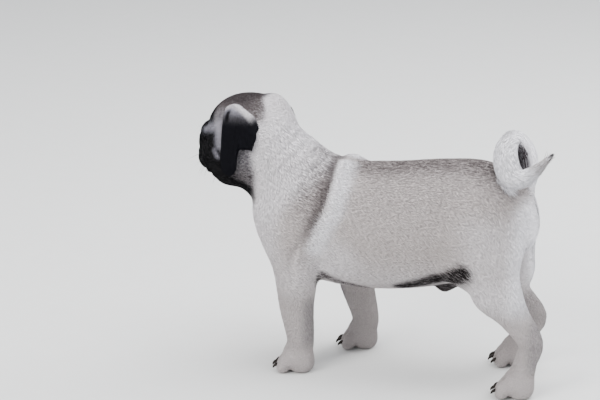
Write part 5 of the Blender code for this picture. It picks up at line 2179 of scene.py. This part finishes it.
@dataclass(frozen=True)
class PlainFinish:
    """One even colour with a little mottling."""

    name: str
    colour: Place
    roughness: float
    variation: float = 0.06
    scale: float = 30.0

    def make(self, grain: bpy.types.NodeTree) -> bpy.types.Material:
        """Builds the material round the shared grain group.

        Args:
            grain: the shared grain group.

        Returns:
            The material.
        """
        material, wiring, shader = principled(self.name, {"Roughness": self.roughness})
        hairs = wiring.add(
            "ShaderNodeGroup", "grain",
            {"Scale": self.scale, "Darkest": 1 - self.variation, "Lightest": 1.0}, node_tree=grain,
        )
        shade = wiring.add(
            "ShaderNodeMix", "shaded", {"Factor": 1.0, "A": (*self.colour, 1.0)},
            data_type="RGBA", blend_type="MULTIPLY",
        )
        wiring.join((hairs, "Shade", shade, "B"), (shade, "Result", shader, "Base Color"))
        return material


@dataclass(frozen=True)
class WhiskerSize:
    """Where the whiskers stand, in the head's frame for the left side, and their size."""

    length: float = 0.021
    thick: float = 0.00022
    shortest: float = 0.55
    seed: int = 7
    flew: tuple = ((0.056, 0.015, -0.0215), (0.0545, 0.02, -0.0235), (0.051, 0.0245, -0.0245),
                   (0.057, 0.017, -0.0275), (0.054, 0.022, -0.03), (0.049, 0.0275, -0.03),
                   (0.056, 0.019, -0.0335), (0.051, 0.025, -0.035))
    brow: tuple = ((0.048, 0.025, 0.018), (0.046, 0.03, 0.017), (0.044, 0.021, 0.021))
    chin: tuple = ((0.056, 0.006, -0.048), (0.052, 0.012, -0.05))


class Whiskers:
    """Short dark whiskers on the flews, brows and chin."""

    def __init__(self, size: WhiskerSize = WhiskerSize()) -> None:
        """Keeps the sizes."""
        self.size = size

    def spots(self) -> tuple[Points, np.ndarray]:
        """Roots on the head and the directions the whiskers point, in the dog's frame.

        Returns:
            A row of place and a row of direction for each whisker.
        """
        places = self.size.flew + self.size.brow + self.size.chin
        rows = [(x, y * side, z) for side in SIDES for x, y, z in places]
        roots = settle(FORM.head.smooth, np.array(rows), rounds=8)
        out = unit(gradient(FORM.head.smooth, roots))
        aims = out * 0.9 + np.array((-0.35, 0.0, -0.45))
        aims += np.column_stack([np.zeros(len(roots)), 0.35 * np.sign(roots[:, 1]), np.zeros(len(roots))])
        return FORM.head.to_dog(roots - out * 0.001), unit(aims) @ FORM.head.axes.T

    def nodes(self, material: bpy.types.Material) -> bpy.types.NodeTree:
        """Geometry nodes that stand a thin cone on each spot, along its aim.

        Args:
            material: what the whiskers are dressed in.

        Returns:
            The tree, with named inputs for its sizes.
        """
        tree = bpy.data.node_groups.new("Whiskers", "GeometryNodeTree")
        tree.interface.new_socket(name="Geometry", in_out="INPUT", socket_type="NodeSocketGeometry")
        for label in ("Length", "Thickness", "Shortest"):
            tree.interface.new_socket(name=label, in_out="INPUT", socket_type="NodeSocketFloat")
        tree.interface.new_socket(name="Seed", in_out="INPUT", socket_type="NodeSocketInt")
        tree.interface.new_socket(name="Geometry", in_out="OUTPUT", socket_type="NodeSocketGeometry")
        wiring = Wiring(tree)
        given, result = wiring.add("NodeGroupInput"), wiring.add("NodeGroupOutput")
        cone = wiring.add("GeometryNodeMeshCone", "whisker", {"Vertices": 5, "Side Segments": 4})
        aim = wiring.add(
            "GeometryNodeInputNamedAttribute", "aim", {"Name": "aim"}, data_type="FLOAT_VECTOR"
        )
        turn = wiring.add("FunctionNodeAlignRotationToVector", "along its aim", axis="Z")
        size = wiring.add("FunctionNodeRandomValue", "size", data_type="FLOAT")
        place = wiring.add("GeometryNodeInstanceOnPoints", "on the spots")
        real = wiring.add("GeometryNodeRealizeInstances")
        dress = wiring.add("GeometryNodeSetMaterial", "dark hair", {"Material": material})
        wiring.join(
            (given, "Length", cone, "Depth"),
            (given, "Thickness", cone, "Radius Bottom"),
            (given, "Shortest", size, 2),
            (given, "Seed", size, "Seed"),
            (given, "Geometry", place, "Points"),
            (cone, "Mesh", place, "Instance"),
            (aim, "Attribute", turn, "Vector"),
            (turn, "Rotation", place, "Rotation"),
            (size, 1, place, "Scale"),
            (place, "Instances", real, "Geometry"),
            (real, "Geometry", dress, "Geometry"),
            (dress, "Geometry", result, "Geometry"),
        )
        return tree

    def build(self, material: bpy.types.Material) -> None:
        """Makes the whiskers as one plain mesh.

        Args:
            material: the dark hair.
        """
        roots, aims = self.spots()
        spots = bpy.data.meshes.new("whisker_spots")
        spots.from_pydata((roots + SHIFT).tolist(), [], [])
        spots.attributes.new(name="aim", type="FLOAT_VECTOR", domain="POINT").data.foreach_set(
            "vector", aims.astype(np.float32).ravel()
        )
        holder = bpy.data.objects.new("whisker_spots", spots)
        bpy.context.scene.collection.objects.link(holder)
        grow = holder.modifiers.new("grow", "NODES")
        grow.node_group = self.nodes(material)
        given = {
            "Length": self.size.length, "Thickness": self.size.thick,
            "Shortest": self.size.shortest, "Seed": self.size.seed,
        }
        for socket in grow.node_group.interface.items_tree:
            if socket.item_type == "SOCKET" and socket.name in given:
                grow[socket.identifier] = given[socket.name]
        graph = bpy.context.evaluated_depsgraph_get()
        mesh = bpy.data.meshes.new_from_object(holder.evaluated_get(graph))
        mesh.name = "whiskers"
        bpy.data.objects.remove(holder)
        stand(mesh, material, Slot.MASK)


@dataclass(frozen=True)
class SoftBox:
    """A square lamp that looks at the dog."""

    name: str
    place: Place
    size: float
    power: float
    colour: Place = (1.0, 1.0, 1.0)

    def build(self, aim: Vector) -> None:
        """Hangs the lamp.

        Args:
            aim: the place that it looks at.
        """
        lamp = bpy.data.lights.new(self.name, "AREA")
        lamp.energy, lamp.size, lamp.color = self.power, self.size, self.colour
        holder = bpy.data.objects.new(self.name, lamp)
        holder.location = self.place
        holder.rotation_euler = (aim - Vector(self.place)).to_track_quat("-Z", "Y").to_euler()
        bpy.context.scene.collection.objects.link(holder)


@dataclass(frozen=True)
class Studio:
    """Pale floor, soft light from above and the camera of the photograph."""

    camera: Place = (0.6466, -2.3006, 0.9401)
    azimuth: float = math.radians(18)
    elevation: float = math.radians(17)
    lens: float = 124.8
    sensor: float = 36.0
    floor: float = 12.0
    ambient: float = 1.0
    sky: Place = (0.86, 0.89, 0.93)
    aim: Place = (0.0, 0.0, 0.16)  # what the lamps look at
    lamps: tuple = (
        SoftBox("sky", (0.3, 0.2, 2.2), 2.4, 98.0, (0.97, 0.98, 1.0)),
        SoftBox("key", (-1.2, -2.2, 1.8), 1.2, 74.0, (1.0, 0.985, 0.96)),
        SoftBox("rim", (1.6, 1.4, 1.5), 1.2, 40.0),
    )

    def build(self, finish: bpy.types.Material) -> None:
        """Makes floor, lamps, surroundings and camera.

        Args:
            finish: the floor's material.
        """
        half = self.floor / 2
        mesh = bpy.data.meshes.new("floor")
        corners = [(-half, -half, 0), (half, -half, 0), (half, half, 0), (-half, half, 0)]
        mesh.from_pydata(corners, [], [(0, 1, 2, 3)])
        mesh.materials.append(finish)
        floor = bpy.data.objects.new("floor", mesh)
        bpy.context.scene.collection.objects.link(floor)
        for lamp in self.lamps:
            lamp.build(Vector(self.aim))
        world = bpy.data.worlds.new("surroundings")
        world.use_nodes = True
        sky = world.node_tree.nodes["Background"]
        sky.inputs["Color"].default_value = (*self.sky, 1.0)
        sky.inputs["Strength"].default_value = self.ambient
        bpy.context.scene.world = world
        self.place_camera()

    def place_camera(self) -> None:
        """Stands the camera where the photograph was taken from."""
        flat = math.cos(self.elevation)
        side, front = math.sin(self.azimuth) * flat, -math.cos(self.azimuth) * flat
        back = Vector((side, front, math.sin(self.elevation)))
        data = bpy.data.cameras.new("camera")
        data.lens, data.sensor_width = self.lens, self.sensor
        data.clip_start, data.clip_end = 0.05, 50.0
        camera = bpy.data.objects.new("camera", data)
        camera.location = Vector(self.camera) + Vector(SHIFT)
        camera.rotation_mode = "QUATERNION"
        camera.rotation_quaternion = (-back).to_track_quat("-Z", "Y")
        bpy.context.scene.collection.objects.link(camera)
        bpy.context.scene.camera = camera


# the skin's colours are mottled down to 0.78 of the markings, darker than the fur's: painted shade beneath
# the coat
SKIN = CoatFinish("skin", 0.85, 0.15, 900.0, 0.78, 1.0, 0.55, 0.0009)
FUR = CoatFinish("fur", 0.62, 0.2, 420.0, 0.92, 1.05, 0.15, 0.0003)
FLAP = CoatFinish("ear_skin", 0.75, 0.2, 900.0, 0.8, 1.0, 0.4, 0.0005)
NOSE_FINISH = LeatherFinish("nose_leather", (0.003, 0.003, 0.004), (0.009, 0.008, 0.009), 0.45, 900.0, 0.8)
HORN = LeatherFinish("claw_horn", (0.01, 0.009, 0.009), (0.04, 0.034, 0.03), 0.34, 350.0, 0.1)
WHISKER = PlainFinish("whisker_hair", (0.018, 0.016, 0.016), 0.45)
FLOOR = PlainFinish("studio_floor", (0.72, 0.72, 0.71), 0.9, 0.02)


def main() -> None:
    """Builds skin, coat, ears, eyes, nose, claws, whiskers and studio."""
    logging.basicConfig(level=logging.INFO, format="%(message)s")
    grain = hair_grain_group()
    fur = FUR.make(grain)
    skin = Skin(COAT, MARKINGS)
    skin.build(SKIN.make(grain))
    skin.grow(Coat(fur, COAT.skin))
    leather, wet = FLAP.make(grain), EyeFinish().make()
    for side in SIDES:
        Ear(side).build(leather, Coat(fur))
        Eye(side).build(wet)
    Nose().build(NOSE_FINISH.make())
    horn = HORN.make()
    for name, paw in FORM.paws.items():
        Claws(name, paw).build(horn)
    Whiskers().build(WHISKER.make(grain))
    Studio().build(FLOOR.make(grain))


if __name__ == "__main__":
    main()
